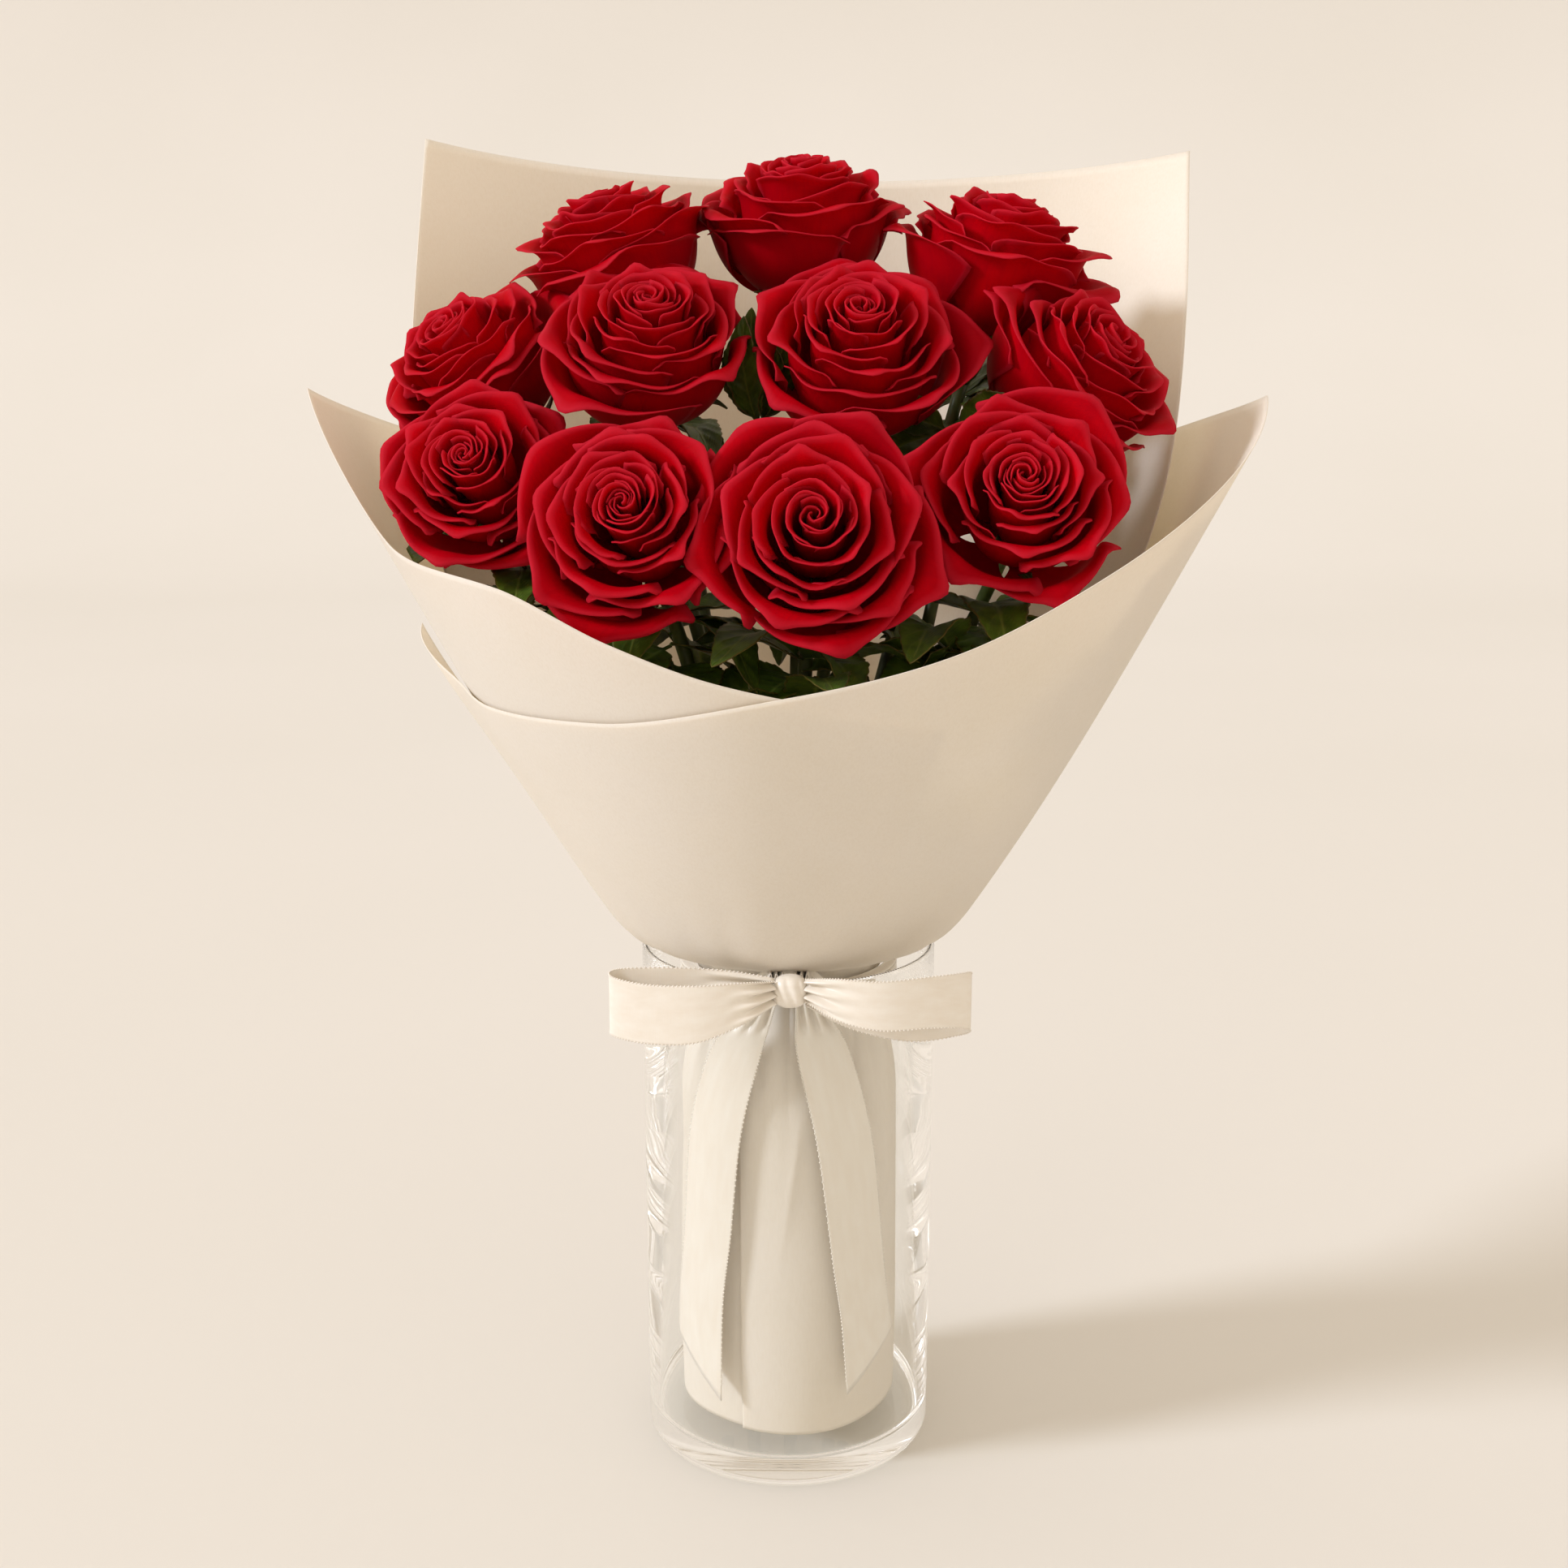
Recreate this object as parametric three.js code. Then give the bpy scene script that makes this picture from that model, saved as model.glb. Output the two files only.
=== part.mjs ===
// Open roses in a paper wrap, tied with a satin ribbon and standing in a clear glass cylinder vase.
// Millimetres, +Z up. The origin is the centre of the vase's underside; the bouquet faces -Y.

import * as THREE from "three";
import { mergeVertices } from "three/addons/utils/BufferGeometryUtils.js";

// ---- driving dimensions ----

const VASE = { radius: 60, height: 215, wall: 3, floor: 12, foot: 6, sides: 40 };

const PAPER = 0.8; // thickness that a sheet of wrap is given here
const LAYER = 1.5; // spacing from one sheet of the wrap to the next

// Outer surface of the wrap as [height, radius]: neck, roll over the rim, then a straight cone.
const WRAP_PROFILE = [
  [207, 38], [213, 41], [218.3, 52], [219.8, 59], [225, 67.5], [234, 75], [460, 198.4],
];
const FOLD_STEP = 7.5; // every sheet of the wrap is bent at the same angles, so the layers nest

// Top edges as [angle, height]. The angle is in degrees from the front, positive to the right.
const LEFT_EDGE = [
  [-142.5, 396], [-107, 424], [-90, 436], [-66, 379], [-41, 371], [-25, 354], [-11, 342], [4, 334], [22.5, 325],
];
const FRONT_FLARE = 8; // how far the front sheet's left end stands away from the sheet under it
const FRONT_EDGE = [
  [-97.5, 343], [-80, 330], [-60, 323], [-31, 325], [0, 338], [13.5, 345], [24.5, 353], [45, 377], [66, 404],
  [90, 434], [107, 424], [142.5, 394],
];

// The upper part of the back sheet as stations: height, half width to the left and to the right,
// y of its sides and y of its middle. Below them it follows the cone.
const BACK_SHEET = [
  { z: 340, left: 127, right: 128, side: 4, middle: 127 },
  { z: 400, left: 148, right: 152, side: 22, middle: 147 },
  { z: 462, left: 156, right: 165, side: 60, middle: 152 },
  { z: 542, left: 157, right: 174, side: 110, middle: 151 },
];
const BACK_TOP_DIP = 11; // how far the back sheet's top edge dips between its corners
const BACK_TOP_TILT = 5; // and how much lower its right corner is than its left

// The sheet round the stems, below the tie: [height, radius], the height from its lower edge up.
const SKIRT_PROFILE = [[18, 46], [60, 47.5], [150, 48], [186, 42], [198, 36], [205.5, 32.5]];
const SKIRT = { seam: -24, turn: 376, lap: 1.7, folds: 9, fold: 0.9 };

const RIBBON = { thickness: 0.6 };
const TAIL_RADIUS = 53.4; // the tails hang between the skirt and the glass
// Ribbon tails as [height, angle of the middle, width].
const TAIL_LEFT = [[199, -14, 13], [183, -23, 21], [150, -33, 24], [106, -38, 24], [75, -42, 24], [44, -43, 24]];
const TAIL_RIGHT = [[199, 10, 13], [183, 15, 21], [145, 25, 24], [95, 32, 24], [70, 36, 24], [48, 39, 24]];
const TAIL_CUT = 11; // rise of the diagonal cut at the end of a tail, from the middle to one side
const KNOT = { x: 0.5, y: -70, z: 216, width: 16, depth: 10, height: 14 };

const BLOOM = { height: 58, middle: 34, lobes: 5 };
// Bloom outline as [radius share, height share], from the base up and over the petals to the heart.
const BLOOM_PROFILE = [
  [0, 0], [0.26, 0.02], [0.66, 0.16], [0.82, 0.36], [0.9, 0.58], [1, 0.74], [0.9, 0.86], [0.56, 0.97], [0, 1],
];
const CALYX_PROFILE = [[0, -15], [3.4, -15], [5.6, -11], [6.2, -6], [4.6, -3], [11, -0.6], [0, -0.6]];

const STEM = { radius: 2.8, sides: 7, foot: 34, neck: 212, gather: 0.18 };
const TWINE = { radius: 26.4, depth: 2, bottom: 194, top: 203 };

// Each rose: the middle of the bloom, the way it faces, and its radius.
const ROSES = [
  { at: [-70, 38, 490], facing: [-0.30, -0.20, 0.93], radius: 35 },
  { at: [5, 44, 502], facing: [-0.04, -0.30, 0.95], radius: 36 },
  { at: [83, 34, 486], facing: [0.24, -0.18, 0.94], radius: 36 },
  { at: [-123, 6, 447], facing: [-0.50, -0.45, 0.68], radius: 33 },
  { at: [-52, -24, 453], facing: [0.04, -0.62, 0.76], radius: 35 },
  { at: [25, -26, 449], facing: [0.03, -0.68, 0.71], radius: 36 },
  { at: [110, -10, 442], facing: [0.58, -0.47, 0.66], radius: 35 },
  { at: [-114, -52, 407], facing: [-0.12, -0.85, 0.49], radius: 31 },
  { at: [-55, -84, 392], facing: [-0.10, -0.90, 0.43], radius: 33 },
  { at: [8, -92, 387], facing: [0.00, -0.92, 0.39], radius: 36 },
  { at: [81, -72, 399], facing: [-0.02, -0.88, 0.47], radius: 34 },
];

// Each leaf: the rose whose stem it grows on, how far up that stem, its tip and its width.
const LEAVES = [
  { rose: 6, along: 0.64, tip: [-20, -28, 422], width: 24 },
  { rose: 7, along: 0.68, tip: [62, -20, 422], width: 22 },
  { rose: 8, along: 0.70, tip: [-97, -84, 360], width: 22 },
  { rose: 9, along: 0.68, tip: [-57, -98, 350], width: 26 },
  { rose: 10, along: 0.62, tip: [-26, -100, 350], width: 24 },
  { rose: 10, along: 0.52, tip: [16, -108, 342], width: 22 },
  { rose: 11, along: 0.60, tip: [42, -98, 350], width: 24 },
  { rose: 11, along: 0.66, tip: [76, -98, 352], width: 24 },
  { rose: 3, along: 0.84, tip: [88, 78, 452], width: 24 },
  { rose: 1, along: 0.84, tip: [-84, 76, 452], width: 24 },
];
const LEAF_THICKNESS = 0.9;

// ---- materials ----

const finish = (color, roughness, extra = {}) =>
  new THREE.MeshStandardMaterial({ color, roughness, metalness: 0, ...extra });

const glass = () => finish(0xe8ece8, 0.04, { transparent: true, opacity: 0.3 });
const paper = () => finish(0xece0cb, 0.78);
const satin = () => finish(0xf0e6d4, 0.34);
const petals = () => finish(0xb8051c, 0.62);
const green = () => finish(0x3e5426, 0.6);
const stemGreen = () => finish(0x4f6a2c, 0.55);
const twine = () => finish(0x8a7a4e, 0.9);

// ---- shape helpers ----

const radians = THREE.MathUtils.degToRad;
const bouquet = new THREE.Group();

// Welds a geometry into one closed skin whose faces point outwards.
function closed(geometry) {
  const bare = new THREE.BufferGeometry();
  bare.setAttribute("position", geometry.getAttribute("position").clone());
  const index = geometry.index;
  if (index) bare.setIndex(index.clone());
  const skin = mergeVertices(bare, 1e-4);
  if (signedVolume(skin) < 0) {
    const corners = skin.index.array;
    for (let i = 0; i < corners.length; i += 3) {
      [corners[i + 1], corners[i + 2]] = [corners[i + 2], corners[i + 1]];
    }
  }
  skin.computeVertexNormals();
  return skin;
}

function signedVolume(geometry) {
  const position = geometry.getAttribute("position");
  const [a, b, c] = [new THREE.Vector3(), new THREE.Vector3(), new THREE.Vector3()];
  let volume = 0;
  for (let i = 0; i < geometry.index.count; i += 3) {
    a.fromBufferAttribute(position, geometry.index.getX(i));
    b.fromBufferAttribute(position, geometry.index.getX(i + 1));
    c.fromBufferAttribute(position, geometry.index.getX(i + 2));
    volume += a.dot(b.cross(c)) / 6;
  }
  return volume;
}

function add(name, geometry, material) {
  const mesh = new THREE.Mesh(closed(geometry), material);
  mesh.name = name;
  bouquet.add(mesh);
  return mesh;
}

// A thin sheet: surface(u, v) gives its middle for u and v from 0 to 1, and half the
// thickness is laid on each side of it.
function sheet(surface, columns, rows, thickness) {
  const geometry = new THREE.BoxGeometry(1, 1, 1, columns, rows, 1);
  const position = geometry.getAttribute("position");
  const step = 1e-3;
  for (let i = 0; i < position.count; i += 1) {
    const u = position.getX(i) + 0.5;
    const v = position.getY(i) + 0.5;
    const alongU = surface(Math.min(u + step, 1), v).sub(surface(Math.max(u - step, 0), v));
    const alongV = surface(u, Math.min(v + step, 1)).sub(surface(u, Math.max(v - step, 0)));
    const normal = alongU.cross(alongV).normalize();
    const point = surface(u, v).addScaledVector(normal, position.getZ(i) * thickness);
    position.setXYZ(i, point.x, point.y, point.z);
  }
  // The far face is split along the same diagonals as the near one, so twisted cells stay evenly thick.
  const { start, count } = geometry.groups[5];
  const corners = geometry.index.array;
  for (let i = start; i < start + count; i += 6) {
    const [a, b, d, , c] = corners.slice(i, i + 6);
    corners.set([a, b, c, a, c, d], i);
  }
  return geometry;
}

// A closed turned shape round +Z from an outline of [radius, height].
function turned(outline, sides) {
  const points = outline.map(([radius, height]) => new THREE.Vector2(radius, height));
  return new THREE.LatheGeometry(points, sides).rotateX(Math.PI / 2);
}

// Straight-line reading of a table of rows whose first column rises or falls steadily.
function read(table, at, column = 1) {
  const falling = table[0][0] > table[table.length - 1][0];
  const rows = falling ? [...table].reverse() : table;
  if (at <= rows[0][0]) return rows[0][column];
  for (let i = 1; i < rows.length; i += 1) {
    if (at <= rows[i][0]) {
      const share = (at - rows[i - 1][0]) / (rows[i][0] - rows[i - 1][0]);
      return THREE.MathUtils.lerp(rows[i - 1][column], rows[i][column], share);
    }
  }
  return rows[rows.length - 1][column];
}

// A point on a cylinder about the vase's axis, its angle in degrees from the front.
const round = (radius, angle, z) =>
  new THREE.Vector3(radius * Math.sin(radians(angle)), -radius * Math.cos(radians(angle)), z);

// ---- the vase ----

function vase() {
  const { radius, height, wall, floor, foot } = VASE;
  const inner = radius - wall;
  const corner = (x, z, r, from, to, steps) =>
    Array.from({ length: steps + 1 }, (_, i) => {
      const angle = radians(THREE.MathUtils.lerp(from, to, i / steps));
      return [x + r * Math.cos(angle), z + r * Math.sin(angle)];
    });
  return turned([
    [0, 0],
    ...corner(radius - foot, foot, foot, -90, 0, 3),
    ...corner(radius - wall / 2, height - wall / 2, wall / 2, 0, 180, 4),
    ...corner(inner - 4, floor + 4, 4, 0, -90, 2),
    [0, floor],
  ], VASE.sides);
}
add("vase", vase(), glass());

// ---- the paper wrap ----

// The wrap's profile moved square to itself, towards the roses, by the given depth.
function layer(depth) {
  const normals = WRAP_PROFILE.slice(1).map(([z, radius], i) => {
    const [low, inner] = WRAP_PROFILE[i];
    return new THREE.Vector2(radius - inner, low - z).normalize();
  });
  return WRAP_PROFILE.map(([z, radius], i) => {
    const before = normals[Math.max(i - 1, 0)];
    const after = normals[Math.min(i, normals.length - 1)];
    const shift = before.clone().add(after).multiplyScalar(depth / (1 + before.dot(after)));
    return [z + shift.x, radius + shift.y];
  });
}

// A cone sheet runs from the neck up to its cut edge, at a given depth inside the outermost sheet.
// Its left end can stand out by a flare that grows towards the cut edge.
function coneSheet(edge, depth, flare = 0) {
  const [first, last] = [edge[0][0], edge[edge.length - 1][0]];
  const profile = layer(depth);
  const heights = profile.slice(0, -1).map(([z]) => z);
  const rows = heights.length;
  return sheet((u, v) => {
    const angle = THREE.MathUtils.lerp(first, last, u);
    const levels = [...heights, read(edge, angle)];
    const k = Math.min(Math.floor(v * rows), rows - 1);
    const z = THREE.MathUtils.lerp(levels[k], levels[k + 1], v * rows - k);
    const atEnd = 1 - THREE.MathUtils.smoothstep(angle, first, first + 3 * FOLD_STEP);
    const stand = flare * atEnd * Math.max(v * rows - rows + 1, 0);
    return round(read(profile, z) + stand, angle, z);
  }, Math.round((last - first) / FOLD_STEP), rows, PAPER);
}
add("paper_front_sheet", coneSheet(FRONT_EDGE, 0, FRONT_FLARE), paper());
add("paper_left_sheet", coneSheet(LEFT_EDGE, LAYER), paper());

// The back sheet stands up behind the roses, flatter and steeper than the cone.
function backSheet() {
  const cone = layer(2 * LAYER).slice(0, -1);
  const stations = [
    ...cone.map(([z, radius]) => ({ z, left: radius, right: radius, side: 0, middle: radius })),
    ...BACK_SHEET,
  ];
  const rows = stations.length - 1;
  return sheet((u, v) => {
    const k = Math.min(Math.floor(v * rows), rows - 1);
    const mix = (key) => THREE.MathUtils.lerp(stations[k][key], stations[k + 1][key], v * rows - k);
    const arc = radians(THREE.MathUtils.lerp(90, 52, THREE.MathUtils.smoothstep(mix("z"), 340, 542)));
    const angle = THREE.MathUtils.lerp(-arc, arc, u);
    const side = Math.sin(angle) / Math.sin(arc);
    const bulge = (Math.cos(angle) - Math.cos(arc)) / (1 - Math.cos(arc));
    const top = THREE.MathUtils.smoothstep(v, 0.8, 1);
    const drop = top * (BACK_TOP_DIP * bulge + BACK_TOP_TILT * (side + 1) / 2);
    const x = side * (side < 0 ? mix("left") : mix("right"));
    return new THREE.Vector3(x, THREE.MathUtils.lerp(mix("side"), mix("middle"), bulge), mix("z") - drop);
  }, 180 / FOLD_STEP, rows, PAPER);
}
add("paper_back_sheet", backSheet(), paper());

// The lower sheet laps over itself, so its radius shrinks along the turn.
function skirt() {
  const rows = SKIRT_PROFILE.length - 1;
  return sheet((u, v) => {
    const k = Math.min(Math.floor(v * rows), rows - 1);
    const mix = (column) => THREE.MathUtils.lerp(SKIRT_PROFILE[k][column], SKIRT_PROFILE[k + 1][column], v * rows - k);
    const angle = SKIRT.seam + SKIRT.turn * u;
    const fold = SKIRT.fold * Math.sin(radians(angle * SKIRT.folds)) * (1 - v);
    return round(mix(1) + fold - SKIRT.lap * u, angle, mix(0));
  }, 40, rows, PAPER);
}
add("paper_skirt", skirt(), paper());

// ---- the ribbon ----

// The band goes round the neck under the wrap's roll, and its two ends cross the rim to the knot.
function band() {
  const route = new THREE.CatmullRomCurve3([
    new THREE.Vector3(-4.6, -64.4, 217.3),
    new THREE.Vector3(-5.2, -57, 217.3),
    new THREE.Vector3(-8, -50, 213.6),
    new THREE.Vector3(-15, -42, 207.5),
    ...[-45, -75, -105, -135, -165, 165, 135, 105, 75, 45].map((angle) => round(41.2, angle, 206)),
    new THREE.Vector3(15, -42, 207.5),
    new THREE.Vector3(8, -50, 213.6),
    new THREE.Vector3(5.2, -57, 217.3),
    new THREE.Vector3(4.6, -64.4, 217.3),
  ]);
  return sheet((u, v) => {
    const middle = route.getPoint(u);
    const turn = Math.min(u, 1 - u);
    const twist = THREE.MathUtils.smoothstep(turn, 0.07, 0.3);
    const side = u < 0.5 ? 1 : -1;
    const across = new THREE.Vector3(side * (1 - twist), 0, twist).normalize();
    const width = THREE.MathUtils.lerp(7, 6.5, twist);
    return middle.addScaledVector(across, (v - 0.5) * width);
  }, 34, 1, RIBBON.thickness);
}
add("ribbon_band", band(), satin());

// The knot is a small pillow with upright pleats.
function knot() {
  const geometry = new THREE.SphereGeometry(1, 20, 10).rotateX(Math.PI / 2);
  const position = geometry.getAttribute("position");
  const square = (value) => Math.sign(value) * Math.abs(value) ** 0.7;
  for (let i = 0; i < position.count; i += 1) {
    const [x, y, z] = [position.getX(i), position.getY(i), position.getZ(i)].map(square);
    const pleat = 1 + 0.05 * Math.cos(x * 9);
    position.setXYZ(i, KNOT.x + x * KNOT.width * 0.42, KNOT.y + y * KNOT.depth * 0.42 * pleat,
      KNOT.z + z * KNOT.height * 0.42);
  }
  return geometry;
}
add("ribbon_knot", knot(), satin());

// A loop leaves the knot, turns at its tip and comes back behind: stations of x, y, middle height
// and height, given for the right-hand loop.
function loop(stations) {
  const path = new THREE.CatmullRomCurve3(stations.map(([x, y]) => new THREE.Vector3(x, y, 0)));
  const size = new THREE.CatmullRomCurve3(stations.map(([, , z, height]) => new THREE.Vector3(z, height, 0)));
  return sheet((u, v) => {
    const place = path.getPoint(u);
    const { x: z, y: height } = size.getPoint(u);
    return new THREE.Vector3(place.x, place.y, z + (v - 0.5) * height);
  }, 18, 1, RIBBON.thickness);
}
add("ribbon_loop_right", loop([
  [8.8, -74, 217, 10], [18, -79, 215.5, 16], [34, -82, 214, 19], [53, -79, 214.5, 20], [67, -74, 213.5, 22],
  [65, -69.5, 210, 23], [46, -68.5, 207, 23], [24, -69, 210, 19], [8.8, -70, 214, 9],
]), satin());
add("ribbon_loop_left", loop([
  [-7.8, -74, 216, 10], [-17, -79, 214, 16], [-34, -81, 210.5, 22], [-52, -78, 209.5, 23], [-66, -73, 211, 23],
  [-64, -68.5, 213, 22], [-45, -68, 214, 21], [-24, -68.5, 216, 15], [-7.8, -70, 217, 8],
]), satin());

// A tail starts behind the knot, crosses the rim and hangs down inside the glass.
function tail(stations, side) {
  const over = [[-64, 216.1], [-56.4, 216.1], [-52.8, 211.6]];
  const rows = over.length + stations.length - 1;
  const row = (i, across) => {
    if (i < over.length) return new THREE.Vector3(side * (4.8 + i * 0.9) + across * 7, over[i][0], over[i][1]);
    const [z, angle, width] = stations[i - over.length];
    const cut = i === rows ? TAIL_CUT * across * side * 2 : 0;
    return round(TAIL_RADIUS, angle + THREE.MathUtils.radToDeg((across * width) / TAIL_RADIUS), z + cut);
  };
  return sheet((u, v) => {
    const k = Math.min(Math.floor((1 - v) * rows), rows - 1);
    return row(k, u - 0.5).lerp(row(k + 1, u - 0.5), (1 - v) * rows - k);
  }, 4, rows, RIBBON.thickness);
}
add("ribbon_tail_left", tail(TAIL_LEFT, -1), satin());
add("ribbon_tail_right", tail(TAIL_RIGHT, 1), satin());

// ---- the roses ----

const vector = (list) => new THREE.Vector3(...list);
const label = (kind, index) => `${kind}_${String(index + 1).padStart(2, "0")}`;

// The bloom is a lobed cup that flares at its outer petals and closes over the heart.
function bloom(radius, index) {
  const outline = BLOOM_PROFILE.map(([across, up]) => [across * radius, up * BLOOM.height]);
  const geometry = turned(outline, 20);
  const position = geometry.getAttribute("position");
  for (let i = 0; i < position.count; i += 1) {
    const [x, y, z] = [position.getX(i), position.getY(i), position.getZ(i)];
    const flare = THREE.MathUtils.smoothstep(z, BLOOM.height * 0.3, BLOOM.height * 0.74);
    const wave = 1 - 0.05 * flare * (1 + Math.cos(Math.atan2(y, x) * BLOOM.lobes + index));
    position.setXYZ(i, x * wave, y * wave, z);
  }
  return geometry;
}

const upright = new THREE.Vector3(0, 0, 1);
const stems = [];

ROSES.forEach(({ at, facing, radius }, index) => {
  const axis = vector(facing).normalize();
  const base = vector(at).addScaledVector(axis, -BLOOM.middle);
  const lean = new THREE.Quaternion().setFromUnitVectors(upright, axis);
  for (const mesh of [
    add(label("bloom", index), bloom(radius, index), petals()),
    add(label("calyx", index), turned(CALYX_PROFILE, 10), green()),
  ]) {
    mesh.position.copy(base);
    mesh.quaternion.copy(lean);
  }

  const end = base.clone().addScaledVector(axis, CALYX_PROFILE[0][1] - 0.4);
  const neck = new THREE.Vector3(at[0] * STEM.gather, at[1] * STEM.gather, STEM.neck);
  const stem = new THREE.CatmullRomCurve3([
    new THREE.Vector3(neck.x * 1.15, neck.y * 1.15, STEM.foot + 2 * (index % 3)),
    neck,
    neck.clone().lerp(end, 0.5).addScaledVector(upright, 12),
    end.clone().addScaledVector(axis, -16),
    end,
  ], false, "centripetal");
  stems.push(stem);
  const section = new THREE.Shape(Array.from({ length: STEM.sides }, (_, i) => {
    const angle = (2 * Math.PI * i) / STEM.sides;
    return new THREE.Vector2(STEM.radius * Math.cos(angle), STEM.radius * Math.sin(angle));
  }));
  add(label("stem", index), new THREE.ExtrudeGeometry(section, {
    steps: 14, extrudePath: stem, bevelEnabled: false,
  }), stemGreen());
});

// A leaf grows from its stem and arches over to its tip.
LEAVES.forEach(({ rose, along, tip, width }, index) => {
  const root = stems[rose - 1].getPoint(along);
  const reach = vector(tip).sub(root);
  const grain = stems[rose - 1].getTangent(along);
  const out = reach.clone().addScaledVector(grain, -reach.dot(grain)).normalize();
  const start = root.addScaledVector(out, STEM.radius + 1.5);
  reach.copy(vector(tip)).sub(start);
  const across = new THREE.Vector3().crossVectors(reach, upright).normalize();
  const lift = new THREE.Vector3().crossVectors(across, reach).normalize();
  const length = reach.length();
  add(label("leaf", index), sheet((u, v) => {
    const spread = 0.06 + 0.94 * Math.sin(Math.PI * (0.04 + 0.92 * v) ** 0.85) ** 0.9;
    const side = (u - 0.5) * width * spread;
    return start.clone()
      .addScaledVector(reach, v)
      .addScaledVector(across, side)
      .addScaledVector(lift, length * 0.09 * Math.sin(Math.PI * v) + Math.abs(side) * 0.2);
  }, 2, 6, LEAF_THICKNESS), green());
});

// Twine holds the stems together inside the neck.
add("stem_twine", turned([
  [TWINE.radius, TWINE.bottom],
  [TWINE.radius + TWINE.depth, TWINE.bottom],
  [TWINE.radius + TWINE.depth, TWINE.top],
  [TWINE.radius, TWINE.top],
  [TWINE.radius, TWINE.bottom],
], 24), twine());

export default bouquet;
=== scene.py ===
import math
import random

import bpy
import numpy as np
from mathutils import Matrix, Vector


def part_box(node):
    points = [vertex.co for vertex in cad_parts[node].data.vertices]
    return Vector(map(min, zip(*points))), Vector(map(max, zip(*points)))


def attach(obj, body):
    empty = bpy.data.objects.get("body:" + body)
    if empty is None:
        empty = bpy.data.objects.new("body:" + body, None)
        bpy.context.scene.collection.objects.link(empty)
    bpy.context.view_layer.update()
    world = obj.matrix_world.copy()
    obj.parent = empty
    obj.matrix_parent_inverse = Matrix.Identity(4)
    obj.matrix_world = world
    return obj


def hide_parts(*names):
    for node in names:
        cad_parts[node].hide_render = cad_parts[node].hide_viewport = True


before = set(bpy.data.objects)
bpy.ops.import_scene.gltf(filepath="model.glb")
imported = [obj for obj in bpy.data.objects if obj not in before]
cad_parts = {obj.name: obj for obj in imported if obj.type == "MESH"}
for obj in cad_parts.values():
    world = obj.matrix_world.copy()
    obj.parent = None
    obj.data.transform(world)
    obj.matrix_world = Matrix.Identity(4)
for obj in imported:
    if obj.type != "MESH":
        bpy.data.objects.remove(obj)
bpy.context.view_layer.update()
MM = 0.001

# Open roses in a paper wrap, tied with a satin ribbon, in a clear glass cylinder vase.
# Metres, +Z up; the front of the bouquet faces -Y.


# ---- reading the frame ----

def place_of(node):
    """The vertices of a CAD node, as an array of points."""
    return np.array([v.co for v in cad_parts[node].data.vertices], float)


def numbered(kind):
    """The names of the CAD nodes of one kind that end in a number, in order."""
    return sorted(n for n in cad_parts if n.startswith(kind + "_") and n[-2:].isdigit())


def add_object(name, data):
    """Puts new data into the scene as an object of that name."""
    made = bpy.data.objects.new(name, data)
    bpy.context.scene.collection.objects.link(made)
    return made


def add_mesh(name, points, faces):
    """Makes one object of a list of arrays of points and a list of faces."""
    mesh = bpy.data.meshes.new(name)
    mesh.from_pydata(np.concatenate(points).tolist(), [], faces)
    mesh.update()
    return add_object(name, mesh)


# ---- camera, floor and light ----

def make_camera():
    data = bpy.data.cameras.new("camera")
    data.lens = 42.4
    data.sensor_width = 36
    camera = add_object("camera", data)
    camera.location = (-0.0018, -0.730, 0.438)
    camera.rotation_euler = (math.radians(77.8), 0, 0)
    bpy.context.scene.camera = camera


def make_lamp(name, kind, energy, colour, place, aim, **settings):
    data = bpy.data.lights.new(name, kind)
    data.energy, data.color = energy, colour
    for key, value in settings.items():
        setattr(data, key, value)
    lamp = add_object(name, data)
    lamp.location = place
    lamp.rotation_euler = Vector(aim).to_track_quat("-Z", "Y").to_euler()


def make_lights():
    make_lamp("key", "SUN", 2.3, (0.83, 0.88, 1.0), (-2.31, -0.66, 1.52), (2.31, 0.66, -1.22),
              angle=math.radians(11))
    make_lamp("front_fill", "AREA", 1.6, (1.0, 0.97, 0.93), (-1.1, -1.8, 1.0), (1.1, 1.8, -0.72), size=0.5)
    world = bpy.data.worlds.new("studio")
    bpy.context.scene.world = world
    world.use_nodes = True
    background = world.node_tree.nodes["Background"]
    background.inputs["Color"].default_value = (1.0, 0.888, 0.765, 1)
    background.inputs["Strength"].default_value = 0.95
    bpy.context.scene.view_settings.view_transform = "Standard"
    # enough bounces for light to find its way out of the thick glass
    cycles = bpy.context.scene.cycles
    cycles.max_bounces, cycles.glossy_bounces, cycles.transmission_bounces = 96, 56, 64


def make_floor():
    """A pale floor that turns up into a wall far behind, with no corner."""
    bpy.ops.mesh.primitive_grid_add(x_subdivisions=2, y_subdivisions=60, size=1)
    floor = bpy.context.object
    floor.name = "floor"
    near, flat, bend, top = -6.0, 3.2, 2.4, 9.0
    drop = 0.0003  # keeps the floor just clear of the vase's underside
    run = [near + (flat - near) * i / 20 for i in range(21)]
    places = [(y, 0.0) for y in run]
    places += [(flat + bend * math.sin(a), bend * (1 - math.cos(a)))
               for a in (math.pi / 2 * i / 32 for i in range(1, 33))]
    places += [(flat + bend, bend + (top - bend) * i / 8) for i in range(1, 9)]
    rows = sorted({round(v.co.y, 5) for v in floor.data.vertices})
    for v in floor.data.vertices:
        y, z = places[rows.index(round(v.co.y, 5))]
        v.co = (v.co.x * 24, y, z - drop)
    for polygon in floor.data.polygons:
        polygon.use_smooth = True
    return floor


# ---- materials ----

def linear(r, g, b):
    """A colour as it looks on screen, 0 to 255, as the linear colour a shader takes."""
    def one(c):
        c /= 255
        return c / 12.92 if c <= 0.04045 else ((c + 0.055) / 1.055) ** 2.4
    return (one(r), one(g), one(b), 1)


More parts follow.
